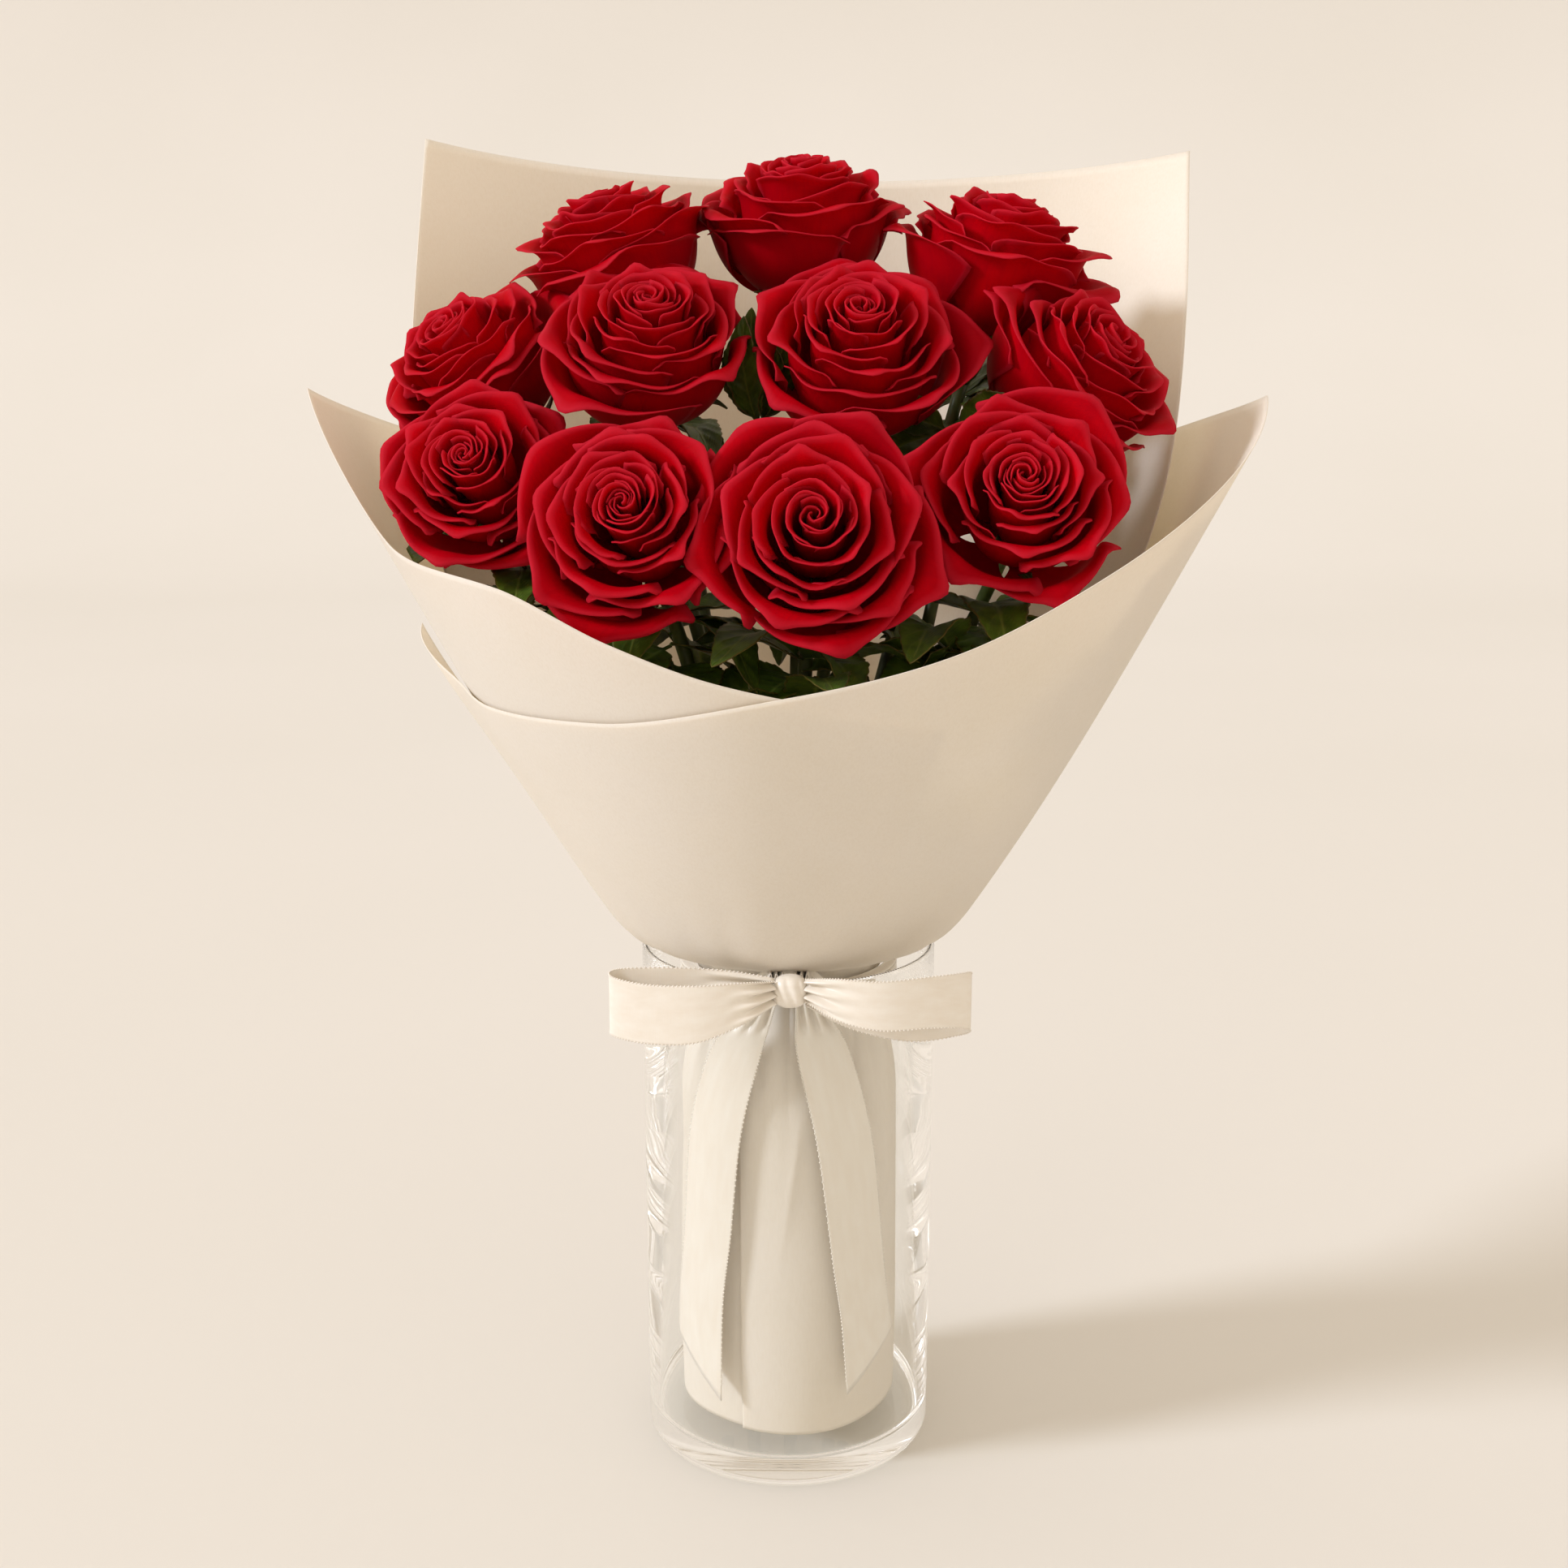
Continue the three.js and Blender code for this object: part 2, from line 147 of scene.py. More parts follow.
class Finish:
    """A material in the making: a node tree with a Principled shader and short ways to add nodes."""

    def __init__(self, name):
        self.material = bpy.data.materials.new(name)
        self.material.use_nodes = True
        self.tree = self.material.node_tree
        self.shader = self.tree.nodes["Principled BSDF"]
        self.output = self.tree.nodes["Material Output"]

    def add(self, kind, **settings):
        node = self.tree.nodes.new("ShaderNode" + kind)
        for key, value in settings.items():
            setattr(node, key, value)
        return node

    def link(self, source, target):
        self.tree.links.new(source, target)

    def give(self, socket, given):
        """Links another node's output to a socket, or sets the socket to a plain value."""
        if isinstance(given, bpy.types.NodeSocket):
            self.link(given, socket)
        else:
            socket.default_value = given

    def set(self, **values):
        for key, value in values.items():
            self.shader.inputs[key.replace("_", " ")].default_value = value

    def place(self, scale=(1, 1, 1), uv=False):
        """Object coordinates, or the piece's own UV map, stretched by scale."""
        coordinates = self.add("TexCoord")
        mapping = self.add("Mapping")
        mapping.inputs["Scale"].default_value = scale
        self.link(coordinates.outputs["UV" if uv else "Object"], mapping.inputs["Vector"])
        return mapping.outputs["Vector"]

    def noise(self, where, scale, detail=4.0, roughness=0.55):
        node = self.add("TexNoise")
        node.inputs["Scale"].default_value = scale
        node.inputs["Detail"].default_value = detail
        node.inputs["Roughness"].default_value = roughness
        self.link(where, node.inputs["Vector"])
        return node.outputs["Fac"]

    def value(self, name):
        return self.add("Attribute", attribute_name=name).outputs["Fac"]

    def level(self, source, low, high, out_low=0.0, out_high=1.0):
        node = self.add("MapRange")
        for key, number in (("From Min", low), ("From Max", high), ("To Min", out_low), ("To Max", out_high)):
            node.inputs[key].default_value = number
        self.link(source, node.inputs["Value"])
        return node.outputs["Result"]

    def mix(self, factor, first, second):
        node = self.add("Mix", data_type="RGBA", blend_type="MIX")
        for place, given in ((0, factor), (6, first), (7, second)):
            self.give(node.inputs[place], given)
        return node.outputs[2]

    def math(self, operation, first, second=0.5):
        node = self.add("Math", operation=operation)
        self.give(node.inputs[0], first)
        self.give(node.inputs[1], second)
        return node.outputs[0]

    def colour(self, source):
        self.link(source, self.shader.inputs["Base Color"])

    def bump(self, height, strength, distance):
        node = self.add("Bump")
        node.inputs["Strength"].default_value = strength
        node.inputs["Distance"].default_value = distance
        self.link(height, node.inputs["Height"])
        self.link(node.outputs["Normal"], self.shader.inputs["Normal"])

    def blend(self, factor, first, second):
        """Mixes two shaders."""
        node = self.add("MixShader")
        for socket, given in zip(node.inputs, (factor, first, second)):
            self.give(socket, given)
        return node.outputs[0]

    def show(self, source):
        self.link(source, self.output.inputs["Surface"])

    def glow_through(self, colour, share):
        """Lets some light through a thin sheet, tinted."""
        through = self.add("BsdfTranslucent")
        through.inputs["Color"].default_value = colour
        self.show(self.blend(share, self.shader.outputs[0], through.outputs[0]))


def petal_finish(name, lit, deep, dusk, rim, back=False):
    """Velvety petal: painted shade darkens it towards the base, fine veins fan out, and the rim is a thin
    paler line of painted highlight.
    """
    f = Finish(name)
    f.set(Roughness=0.62 if back else 0.52, Specular_IOR_Level=0.03, Sheen_Weight=0.06 if back else 0.01,
          Sheen_Roughness=0.35, Sheen_Tint=linear(240, 80, 100))
    along = f.value("along")
    # painted shade: the petal runs from the lit colour at its top to the deep colour at its base, deep in the
    # bloom
    body = f.mix(f.level(along, 0.25, 0.95), deep, lit)
    veins = f.noise(f.place((46, 3.2, 1), uv=True), 1.0, 5, 0.62)
    body = f.mix(f.level(veins, 0.42, 0.66, 0.0, 0.5 if back else 0.24), body, dusk)
    blotch = f.noise(f.place(), 62, 3)
    body = f.mix(f.level(blotch, 0.45, 0.75, 0.0, 0.5), body, dusk)
    body = f.mix(f.math("MULTIPLY", f.value("tone"), 0.45), body, dusk)
    fringe = f.value("rim")
    body = f.mix(f.level(fringe, 0.45, 0.9, 0.0, 0.5), body, dusk)
    # painted highlight: a thin paler line where the rolled rim catches the light
    body = f.mix(f.level(fringe, 0.9, 0.99, 0.0, 0.75), body, rim)
    f.colour(body)
    fine = f.noise(f.place((120, 9, 1), uv=True), 1.0, 3)
    grain = f.math("ADD", f.math("MULTIPLY", veins, 0.8), f.math("MULTIPLY", fine, 0.35))
    f.bump(grain, 0.35 if back else 0.2, 0.0006)
    f.glow_through(linear(248, 4, 12), 0.32)
    return f.material


def rim_highlight_finish():
    # the cut edges of the petals, speckled paler and pinker than the faces: a painted highlight where the
    # thin edge catches the light
    f = Finish("petal_rim_highlight")
    f.set(Roughness=0.5, Sheen_Weight=0.05, Specular_IOR_Level=0.05)
    speckle = f.noise(f.place(), 900, 2)
    f.colour(f.mix(f.level(speckle, 0.35, 0.65), linear(150, 8, 26), linear(212, 62, 78)))
    return f.material


def paper_finish(name, face, shade):
    """Smooth matte wrapping paper with very faint fibres."""
    f = Finish(name)
    f.set(Roughness=0.72, Specular_IOR_Level=0.3)
    cloud = f.noise(f.place(), 14, 3)
    fibre = f.noise(f.place((1, 1, 0.25)), 1400, 3)
    body = f.mix(f.level(cloud, 0.35, 0.7), face, shade)
    f.colour(f.mix(f.level(fibre, 0.4, 0.7, 0.0, 0.12), body, linear(205, 188, 160)))
    f.bump(fibre, 0.12, 0.0002)
    f.glow_through(linear(250, 238, 214), 0.34)
    return f.material


def satin_finish():
    """Satin ribbon: fine weft lines across it and a long soft shine."""
    f = Finish("satin_ribbon")
    f.set(Roughness=0.3, Specular_IOR_Level=0.7, Anisotropic=0.55, Sheen_Weight=0.2)
    weft = f.noise(f.place((3, 900, 1), uv=True), 1.0, 2)
    soft = f.noise(f.place((6, 14, 1), uv=True), 1.0, 3)
    body = f.mix(f.level(soft, 0.3, 0.7), linear(244, 239, 229), linear(238, 230, 217))
    f.colour(f.mix(f.level(weft, 0.35, 0.7, 0.0, 0.2), body, linear(232, 220, 198)))
    f.bump(weft, 0.12, 0.0002)
    f.glow_through(linear(244, 226, 196), 0.1)
    return f.material


def glass_finish():
    """Clear glass that lets the lamps through to what stands in it."""
    f = Finish("clear_glass")
    f.set(Roughness=0.0, IOR=1.5, Base_Color=(0.972, 0.976, 0.970, 1), Transmission_Weight=1.0)
    clear = f.add("BsdfTransparent")
    clear.inputs["Color"].default_value = (0.965, 0.97, 0.965, 1)
    path = f.add("LightPath")
    # soft light scattered by the paper passes straight out too, so that no lamp is counted twice
    inner = f.blend(path.outputs["Is Diffuse Ray"], f.shader.outputs[0], clear.outputs[0])
    f.show(f.blend(path.outputs["Is Shadow Ray"], inner, clear.outputs[0]))
    return f.material


def leaf_finish(name, lit, deep, vein):
    f = Finish(name)
    f.set(Roughness=0.42, Specular_IOR_Level=0.45)
    mottle = f.noise(f.place(), 120, 4)
    body = f.mix(f.level(mottle, 0.35, 0.7), lit, deep)
    body = f.mix(f.level(f.value("vein"), 0.2, 0.9, 0.0, 0.6), body, vein)
    body = f.mix(f.level(f.value("rim"), 0.75, 1.0, 0.0, 0.45), body, linear(120, 70, 40))
    f.colour(body)
    f.bump(f.math("ADD", f.math("MULTIPLY", mottle, 0.3), f.value("vein")), 0.5, 0.0006)
    f.glow_through(linear(110, 140, 30), 0.12)
    return f.material


def stem_finish():
    f = Finish("stem_green")
    f.set(Roughness=0.45)
    streak = f.noise(f.place((1, 1, 0.12)), 420, 4)
    blotch = f.noise(f.place(), 45, 3)
    body = f.mix(f.level(streak, 0.3, 0.7), linear(84, 96, 38), linear(60, 70, 26))
    f.colour(f.mix(f.level(blotch, 0.55, 0.75, 0.0, 0.5), body, linear(112, 66, 40)))
    f.bump(streak, 0.3, 0.0004)
    return f.material


def twine_finish():
    f = Finish("tie_twine")
    f.set(Roughness=0.9)
    strand = f.add("TexWave", bands_direction="DIAGONAL")
    strand.inputs["Scale"].default_value = 420
    strand.inputs["Distortion"].default_value = 2
    f.link(f.place(), strand.inputs["Vector"])
    f.colour(f.mix(strand.outputs["Fac"], linear(150, 126, 84), linear(196, 172, 124)))
    f.bump(strand.outputs["Fac"], 0.6, 0.0004)
    return f.material


def floor_finish():
    f = Finish("floor_cream")
    f.set(Roughness=0.85, Specular_IOR_Level=0.2)
    cloud = f.noise(f.place(), 0.8, 2)
    f.colour(f.mix(f.level(cloud, 0.3, 0.7), linear(223, 219, 212), linear(220, 216, 208)))
    return f.material


# ---- mesh helpers ----

def smoothstep(low, high, value):
    t = np.clip((value - low) / (high - low), 0, 1)
    return t * t * (3 - 2 * t)


def grid(rows, columns):
    """u from -1 to 1 across and v from 0 to 1 along, as whole arrays."""
    return np.meshgrid(np.linspace(-1, 1, columns), np.linspace(0, 1, rows))


def turned(x, y, z, turn):
    """Points from their coordinates, turned round +Z."""
    c, s = math.cos(turn), math.sin(turn)
    return np.stack([x * c - y * s, x * s + y * c, z], -1)


def from_front(radius, angle, z):
    """Points at a radius and height, at an angle in degrees round from the front."""
    a = np.radians(angle)
    return np.stack([radius * np.sin(a), -radius * np.cos(a), z], -1)


def grid_sheet(name, columns, rows, surface):
    """A flat grid bent to surface(u, v), where u and v run from 0 to 1 as arrays."""
    bpy.ops.mesh.primitive_grid_add(x_subdivisions=columns, y_subdivisions=rows, size=1)
    piece = bpy.context.object
    piece.name = name
    flat = np.array([v.co for v in piece.data.vertices])
    points = surface(flat[:, 0] + 0.5, flat[:, 1] + 0.5)
    piece.data.vertices.foreach_set("co", np.asarray(points, np.float32).ravel())
    piece.data.update()
    return piece


def finished(piece, body_slot, materials, *nodes, smooth=True):
    """Gives a piece its materials and ties it to the frame."""
    if smooth:
        piece.data.polygons.foreach_set("use_smooth", [True] * len(piece.data.polygons))
    piece.data.materials.clear()
    for material in materials:
        piece.data.materials.append(material)
    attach(piece, "root")
    if nodes:
        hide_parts(*nodes)
    return piece


def thicken(piece, thickness):
    """Gives a thin surface the same thickness on both sides."""
    bpy.ops.object.select_all(action="DESELECT")
    bpy.context.view_layer.objects.active = piece
    piece.select_set(True)
    modifier = piece.modifiers.new("solidify", "SOLIDIFY")
    modifier.thickness, modifier.offset = thickness, 0
    bpy.ops.object.modifier_apply(modifier=modifier.name)


class Skin:
    """Collects thick curved patches and makes one mesh of them."""

    def __init__(self):
        self.points, self.faces, self.kinds = [], [], []
        self.values, self.uvs, self.count = {}, [], 0

    def patch(self, points, thickness, uv, values, kinds=(0, 1, 2)):
        """points is rows x columns x 3; its first side faces along the grid's own normal."""
        rows, columns = points.shape[:2]
        along = np.gradient(points, axis=0)
        across = np.gradient(points, axis=1)
        normal = np.cross(across, along)
        normal /= np.maximum(np.linalg.norm(normal, axis=2, keepdims=True), 1e-12)
        half = normal * thickness / 2
        size = rows * columns
        self.points += [(points + half).reshape(-1, 3), (points - half).reshape(-1, 3)]
        index = np.arange(size).reshape(rows, columns) + self.count
        front = np.stack([index[:-1, :-1], index[:-1, 1:], index[1:, 1:], index[1:, :-1]], -1).reshape(-1, 4)
        back = front[:, ::-1] + size
        edge = np.concatenate([index[0, :], index[1:, -1], index[-1, -2::-1], index[-2:0:-1, 0]])
        after = np.roll(edge, -1)
        rim = np.stack([after, edge, edge + size, after + size], -1)
        self.faces += [front, back, rim]
        self.kinds += [np.full(len(faces), kind) for faces, kind in zip((front, back, rim), kinds)]
        for key, value in values.items():
            value = np.broadcast_to(value, (rows, columns)).ravel()
            self.values.setdefault(key, []).extend([value, value])
        self.uvs += [uv.reshape(-1, 2), uv.reshape(-1, 2)]
        self.count += 2 * size

    def piece(self, name):
        points = np.concatenate(self.points).astype(np.float32)
        faces = np.concatenate(self.faces).astype(np.int32)
        mesh = bpy.data.meshes.new(name)
        mesh.vertices.add(len(points))
        mesh.vertices.foreach_set("co", points.ravel())
        mesh.loops.add(faces.size)
        mesh.loops.foreach_set("vertex_index", faces.ravel())
        mesh.polygons.add(len(faces))
        mesh.polygons.foreach_set("loop_start", np.arange(0, faces.size, 4, dtype=np.int32))
        mesh.polygons.foreach_set("material_index", np.concatenate(self.kinds).astype(np.int32))
        mesh.update(calc_edges=True)
        for key, parts in self.values.items():
            layer = mesh.attributes.new(key, "FLOAT", "POINT")
            layer.data.foreach_set("value", np.concatenate(parts).astype(np.float32))
        uv = mesh.uv_layers.new(name="UVMap")
        uv.data.foreach_set("uv", np.concatenate(self.uvs)[faces.ravel()].astype(np.float32).ravel())
        return add_object(name, mesh)


# ---- roses ----

PETALS = 34
GOLDEN = math.radians(137.508)
SEEDS = {"rose": 710, "stem": 90, "calyx": 300, "leaf": 40, "creases": 77}
SEED_STEP = 17  # from one rose to the next
SEED_SHIFT = {"11": 3}  # without it this rose draws an outer petal like a hook
CAD_RADIUS = 36  # millimetres; a bloom whose CAD solid has this radius is FULLNESS times the tables' size
FULLNESS = 1.11
# How a petal changes from the heart (0) to the outermost guard petals (1). Lengths in millimetres for
# a bloom 86 mm across, angles in degrees from upright.
AGE = [0, 0.12, 0.24, 0.36, 0.50, 0.64, 0.78, 0.90, 1]
RIM_RADIUS = [1.4, 4.0, 7.6, 12.0, 17.5, 23.5, 30.5, 37.5, 43.0]
RIM_HEIGHT = [51.5, 53.0, 53.5, 53.0, 51.0, 48.0, 44.0, 39.5, 35.0]
RIM_LEAN = [-18, 2, 18, 32, 46, 60, 73, 84, 94]
RIM_REACH = [4, 5, 6.5, 8, 10, 11, 12, 12.5, 13]
BASE_RADIUS = [0.8, 1.6, 2.6, 3.6, 4.6, 5.4, 6.2, 6.8, 7.2]
BASE_HEIGHT = [16, 14, 12, 10, 8, 6, 4, 3, 2]
BASE_LEAN = [2, 6, 14, 26, 40, 54, 64, 70, 72]
BASE_REACH = [17, 18, 20, 22, 25, 29, 32, 34, 35]
HALF_TURN = [112, 98, 82, 70, 62, 58, 56, 55, 55]
SPIRAL = [0.52, 0.38, 0.25, 0.15, 0.09, 0.06, 0.04, 0.03, 0.03]
LIP = [0.2, 0.4, 0.7, 1.1, 1.7, 2.5, 3.6, 4.6, 5.4]
SHOULDER = [0.05, 0.05, 0.06, 0.08, 0.10, 0.13, 0.17, 0.20, 0.22]
POINT = [0, 0.01, 0.02, 0.03, 0.045, 0.055, 0.065, 0.075, 0.085]


def petal_shape(age, turn, size, luck, rows, columns):
    """One petal as a grid of points in the bloom's own frame, base row first."""
    read = lambda table: float(np.interp(age, AGE, table))
    vary = lambda spread: 1 + luck.uniform(-spread, spread)
    u, v = grid(rows, columns)
    # the rim's outline: sloping shoulders and a point near the middle
    lean_point = luck.uniform(-0.22, 0.22)
    off = np.abs(u - lean_point)
    reach = 1 - read(SHOULDER) * vary(0.3) * off ** 1.7 + read(POINT) * vary(0.5) * np.exp(-(off / 0.17) ** 2)
    s = v * reach

    rim = np.array([read(RIM_RADIUS) * vary(0.06), read(RIM_HEIGHT) + luck.uniform(-1.4, 1.4)])
    base = np.array([read(BASE_RADIUS), read(BASE_HEIGHT)])
    top_lean = math.radians(read(RIM_LEAN) + luck.uniform(-11, 11))
    low_lean = math.radians(read(BASE_LEAN))
    p1 = base + read(BASE_REACH) * np.array([math.sin(low_lean), math.cos(low_lean)])
    p2 = rim - read(RIM_REACH) * np.array([math.sin(top_lean), math.cos(top_lean)])
    radius, height = [(1 - s) ** 3 * base[k] + 3 * (1 - s) ** 2 * s * p1[k] + 3 * (1 - s) * s ** 2 * p2[k]
                      + s ** 3 * rim[k] for k in range(2)]
    rise_r, rise_z = [(1 - s) ** 2 * (p1[k] - base[k]) + 2 * (1 - s) * s * (p2[k] - p1[k])
                      + s ** 2 * (rim[k] - p2[k]) for k in range(2)]
    rise = np.hypot(rise_r, rise_z)
    back_r, back_z = rise_z / rise, -rise_r / rise

    # the lip rolls back towards the outside, most of all at the two shoulders
    margin = np.maximum(s, np.abs(u) ** 1.3 * smoothstep(0.35, 0.8, s))
    lip = read(LIP) * vary(0.35) * np.clip((margin - 0.62) / 0.38, 0, 1.2) ** 2.2
    lip = lip * (0.35 + 0.9 * np.abs(u) ** 1.5)
    top = smoothstep(0.5, 1.0, s)
    waves = (np.sin(u * luck.uniform(2.6, 4.4) + luck.uniform(0, 6.3)) * 0.6
             + np.sin(u * luck.uniform(6, 9.5) + luck.uniform(0, 6.3)) * 0.32)
    lip = lip + waves * (0.25 + 1.7 * age) * top ** 2
    # a soft keel down the middle of the outer petals
    lip = lip - 1.2 * age * top * np.exp(-(u / 0.3) ** 2)
    radius = radius + back_r * lip
    height = height + back_z * lip

    half = math.radians(read(HALF_TURN) * vary(0.16))
    spread = 0.30 + 0.70 * np.sin(math.pi / 2 * np.minimum(s / 0.72, 1)) ** 1.1
    spread = spread * (1 - 0.16 * age * smoothstep(0.75, 1.0, s))
    # round the axis near the heart, and rather flatter than the ring further out
    flat = 0.30 * age
    angle = u * half * spread
    ring = radius * (1 + read(SPIRAL) * u)
    ring = ring * (1 - flat * (1 - np.cos(angle * 0.8)))
    x, y = ring * np.cos(angle), ring * np.sin(angle)

    return turned(*(np.stack([x, y, height]) * size * MM), turn), s


def bloom_seat(name):
    """Where a bloom meets its calyx in the CAD: the bloom's points, that place, the axis and the lean."""
    bloom, calyx = place_of(f"bloom_{name}"), place_of(f"calyx_{name}")
    axis = bloom.mean(0) - calyx.mean(0)
    axis /= np.linalg.norm(axis)
    base = calyx.mean(0) + axis * (((bloom - calyx.mean(0)) @ axis).min())
    lean = np.array(Vector((0, 0, 1)).rotation_difference(Vector(axis)).to_matrix())
    return bloom, base, axis, lean


def rose(index, name, materials, skins):
    """A whole bloom where its CAD solid stands, as heart, inner petals and outer petals."""
    bloom, base, axis, lean = bloom_seat(name)
    across = (bloom - base) - np.outer((bloom - base) @ axis, axis)
    size = FULLNESS * np.linalg.norm(across, axis=1).max() / (CAD_RADIUS * MM)
    luck = random.Random(SEEDS["rose"] + index * SEED_STEP + SEED_SHIFT.get(name, 0))
    start = luck.uniform(0, 2 * math.pi)
    open_by = luck.uniform(-0.03, 0.03)
    hand = 1 if index % 3 else -1
    for layer, first, last, rows, columns in skins:
        skin = Skin()
        for k in range(int(first * PETALS), int(last * PETALS)):
            age = min(max(k / (PETALS - 1) + open_by * (k / PETALS), 0), 1)
            turn = start + hand * GOLDEN * k + luck.uniform(-0.3, 0.3)
            points, s = petal_shape(age, turn, size, luck, rows, columns)
            points = inside_wrap(points @ lean.T + base)
            u, v = grid(rows, columns)
            rim = np.maximum(v, np.abs(u) * smoothstep(0.25, 0.6, v))
            uv = np.stack([(u * (0.35 + 0.65 * v) + 1) / 2, v + 0.37 * (k % 7)], -1)
            skin.patch(points, (0.5 - 0.1 * age) * MM, uv,
                       {"along": s, "rim": rim, "tone": luck.random() ** 2 * 0.8 + 0.7 * age ** 4})
        finished(skin.piece(f"rose_{name}_{layer}"), "rose_petal", materials, f"bloom_{name}")


def make_roses():
    materials = [
        # each petal finish takes its lit face colour, a deep colour of painted shade for the base, the dusk
        # of its veins and blotches, and a paler rim colour of painted highlight
        petal_finish("petal_face", linear(246, 0, 16), linear(198, 0, 9), linear(150, 0, 22),
                     linear(206, 40, 60)),
        petal_finish("petal_back", linear(206, 14, 34), linear(164, 8, 24), linear(126, 2, 28),
                     linear(206, 56, 76), back=True),
        rim_highlight_finish(),
    ]
    # name, share of the petals from the heart out, rows and columns of each petal
    skins = (("heart", 0, 0.3, 16, 17),
             ("inner_petals", 0.3, 0.64, 20, 21),
             ("outer_petals", 0.64, 1, 26, 27))
    for index, node in enumerate(numbered("bloom")):
        rose(index, node[-2:], materials, skins)


# ---- calyxes, stems and leaves ----

def tube(line, radii, sides=12):
    """A closed round tube along a list of points."""
    line = np.asarray(line, float)
    steps = np.gradient(line, axis=0)
    steps /= np.linalg.norm(steps, axis=1, keepdims=True)
    side = np.cross(steps[0], (0, 1, 0.3))
    rings = []
    angles = np.linspace(0, 2 * math.pi, sides, endpoint=False)
    for point, step, radius in zip(line, steps, radii):
        side = side - step * (side @ step)
        side /= np.linalg.norm(side)
        other = np.cross(step, side)
        rings.append(point + radius * (np.outer(np.cos(angles), side) + np.outer(np.sin(angles), other)))
    return np.array(rings)


def loft(name, groups):
    """One mesh of closed lofts, each a stack of rings capped at both ends."""
    points, faces, start = [], [], 0
    for rings in groups:
        count, sides = rings.shape[:2]
        points.append(rings.reshape(-1, 3))
        points.append(np.array([rings[0].mean(0), rings[-1].mean(0)]))
        for i in range(count - 1):
            for j in range(sides):
                k = (j + 1) % sides
                faces.append((start + i * sides + j, start + i * sides + k,
                              start + (i + 1) * sides + k, start + (i + 1) * sides + j))
        low, high = start + count * sides, start + count * sides + 1
        for j in range(sides):
            k = (j + 1) % sides
            faces.append((low, start + k, start + j))
            faces.append((high, start + (count - 1) * sides + j, start + (count - 1) * sides + k))
        start += count * sides + 2
    return add_mesh(name, points, faces)


def centre_line(node, count):
    """Points down the middle of a rising CAD tube, from its lowest to its highest."""
    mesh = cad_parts[node].data
    points = place_of(node)
    low, high = points[:, 2].min(), points[:, 2].max()
    line = [points[points[:, 2] <= low + 0.002].mean(0)]
    a, b = (points[[e.vertices[k] for e in mesh.edges]] for k in range(2))
    for level in np.linspace(low, high, count)[1:-1]:
        cross = (a[:, 2] - level) * (b[:, 2] - level) < 0
        share = (level - a[cross, 2]) / (b[cross, 2] - a[cross, 2])
        line.append((a[cross] + (b[cross] - a[cross]) * share[:, None]).mean(0))
    line.append(points[points[:, 2] >= high - 0.004].mean(0))
    return np.array(line)


def smooth_line(points, count):
    """Resamples a line evenly with Catmull-Rom curves."""
    points = np.asarray(points, float)
    padded = np.vstack([2 * points[0] - points[1], points, 2 * points[-1] - points[-2]])
    spans = len(points) - 1
    out = []
    for t in np.linspace(0, spans, count):
        i = min(int(t), spans - 1)
        f = t - i
        p0, p1, p2, p3 = padded[i:i + 4]
        out.append(0.5 * (2 * p1 + (p2 - p0) * f + (2 * p0 - 5 * p1 + 4 * p2 - p3) * f * f
                          + (3 * p1 - p0 - 3 * p2 + p3) * f ** 3))
    return np.array(out)


def inside_wrap(points, gap=4.0):
    """Presses points that would pass through the cone of paper back to just inside it."""
    x, y, z = points[..., 0], points[..., 1], points[..., 2]
    limit = (np.interp(z / MM, WRAP_HEIGHT[-2:], WRAP_RADIUS[-2:]) - gap) * MM
    press = np.minimum(1, limit / np.maximum(np.hypot(x, y), 1e-6))
    return np.stack([x * press, y * press, z], -1)


def make_stems(material):
    for index, node in enumerate(numbered("stem")):
        luck = random.Random(SEEDS["stem"] + index)
        line = smooth_line(centre_line(node, 12), 40)
        swell = [2.7 * MM * (1 + 0.05 * math.sin(i * 0.9 + index)) for i in range(len(line))]
        groups = [tube(line, swell, 14)]
        for i in range(5, 34, 4):
            step = line[i + 1] - line[i]
            out = np.cross(step, (luck.uniform(-1, 1), luck.uniform(-1, 1), 0.2))
            out /= np.linalg.norm(out)
            step /= np.linalg.norm(step)
            thorn = [line[i] + out * d * MM - step * drop * MM
                     for d, drop in ((2.2, 0), (3.4, 0.3), (4.6, 1.1), (5.3, 2.0))]
            groups.append(tube(thorn, [1.5 * MM, 0.9 * MM, 0.4 * MM, 0.08 * MM], 8))
        finished(loft("rose_" + node, groups), "stem_green", [material], node)


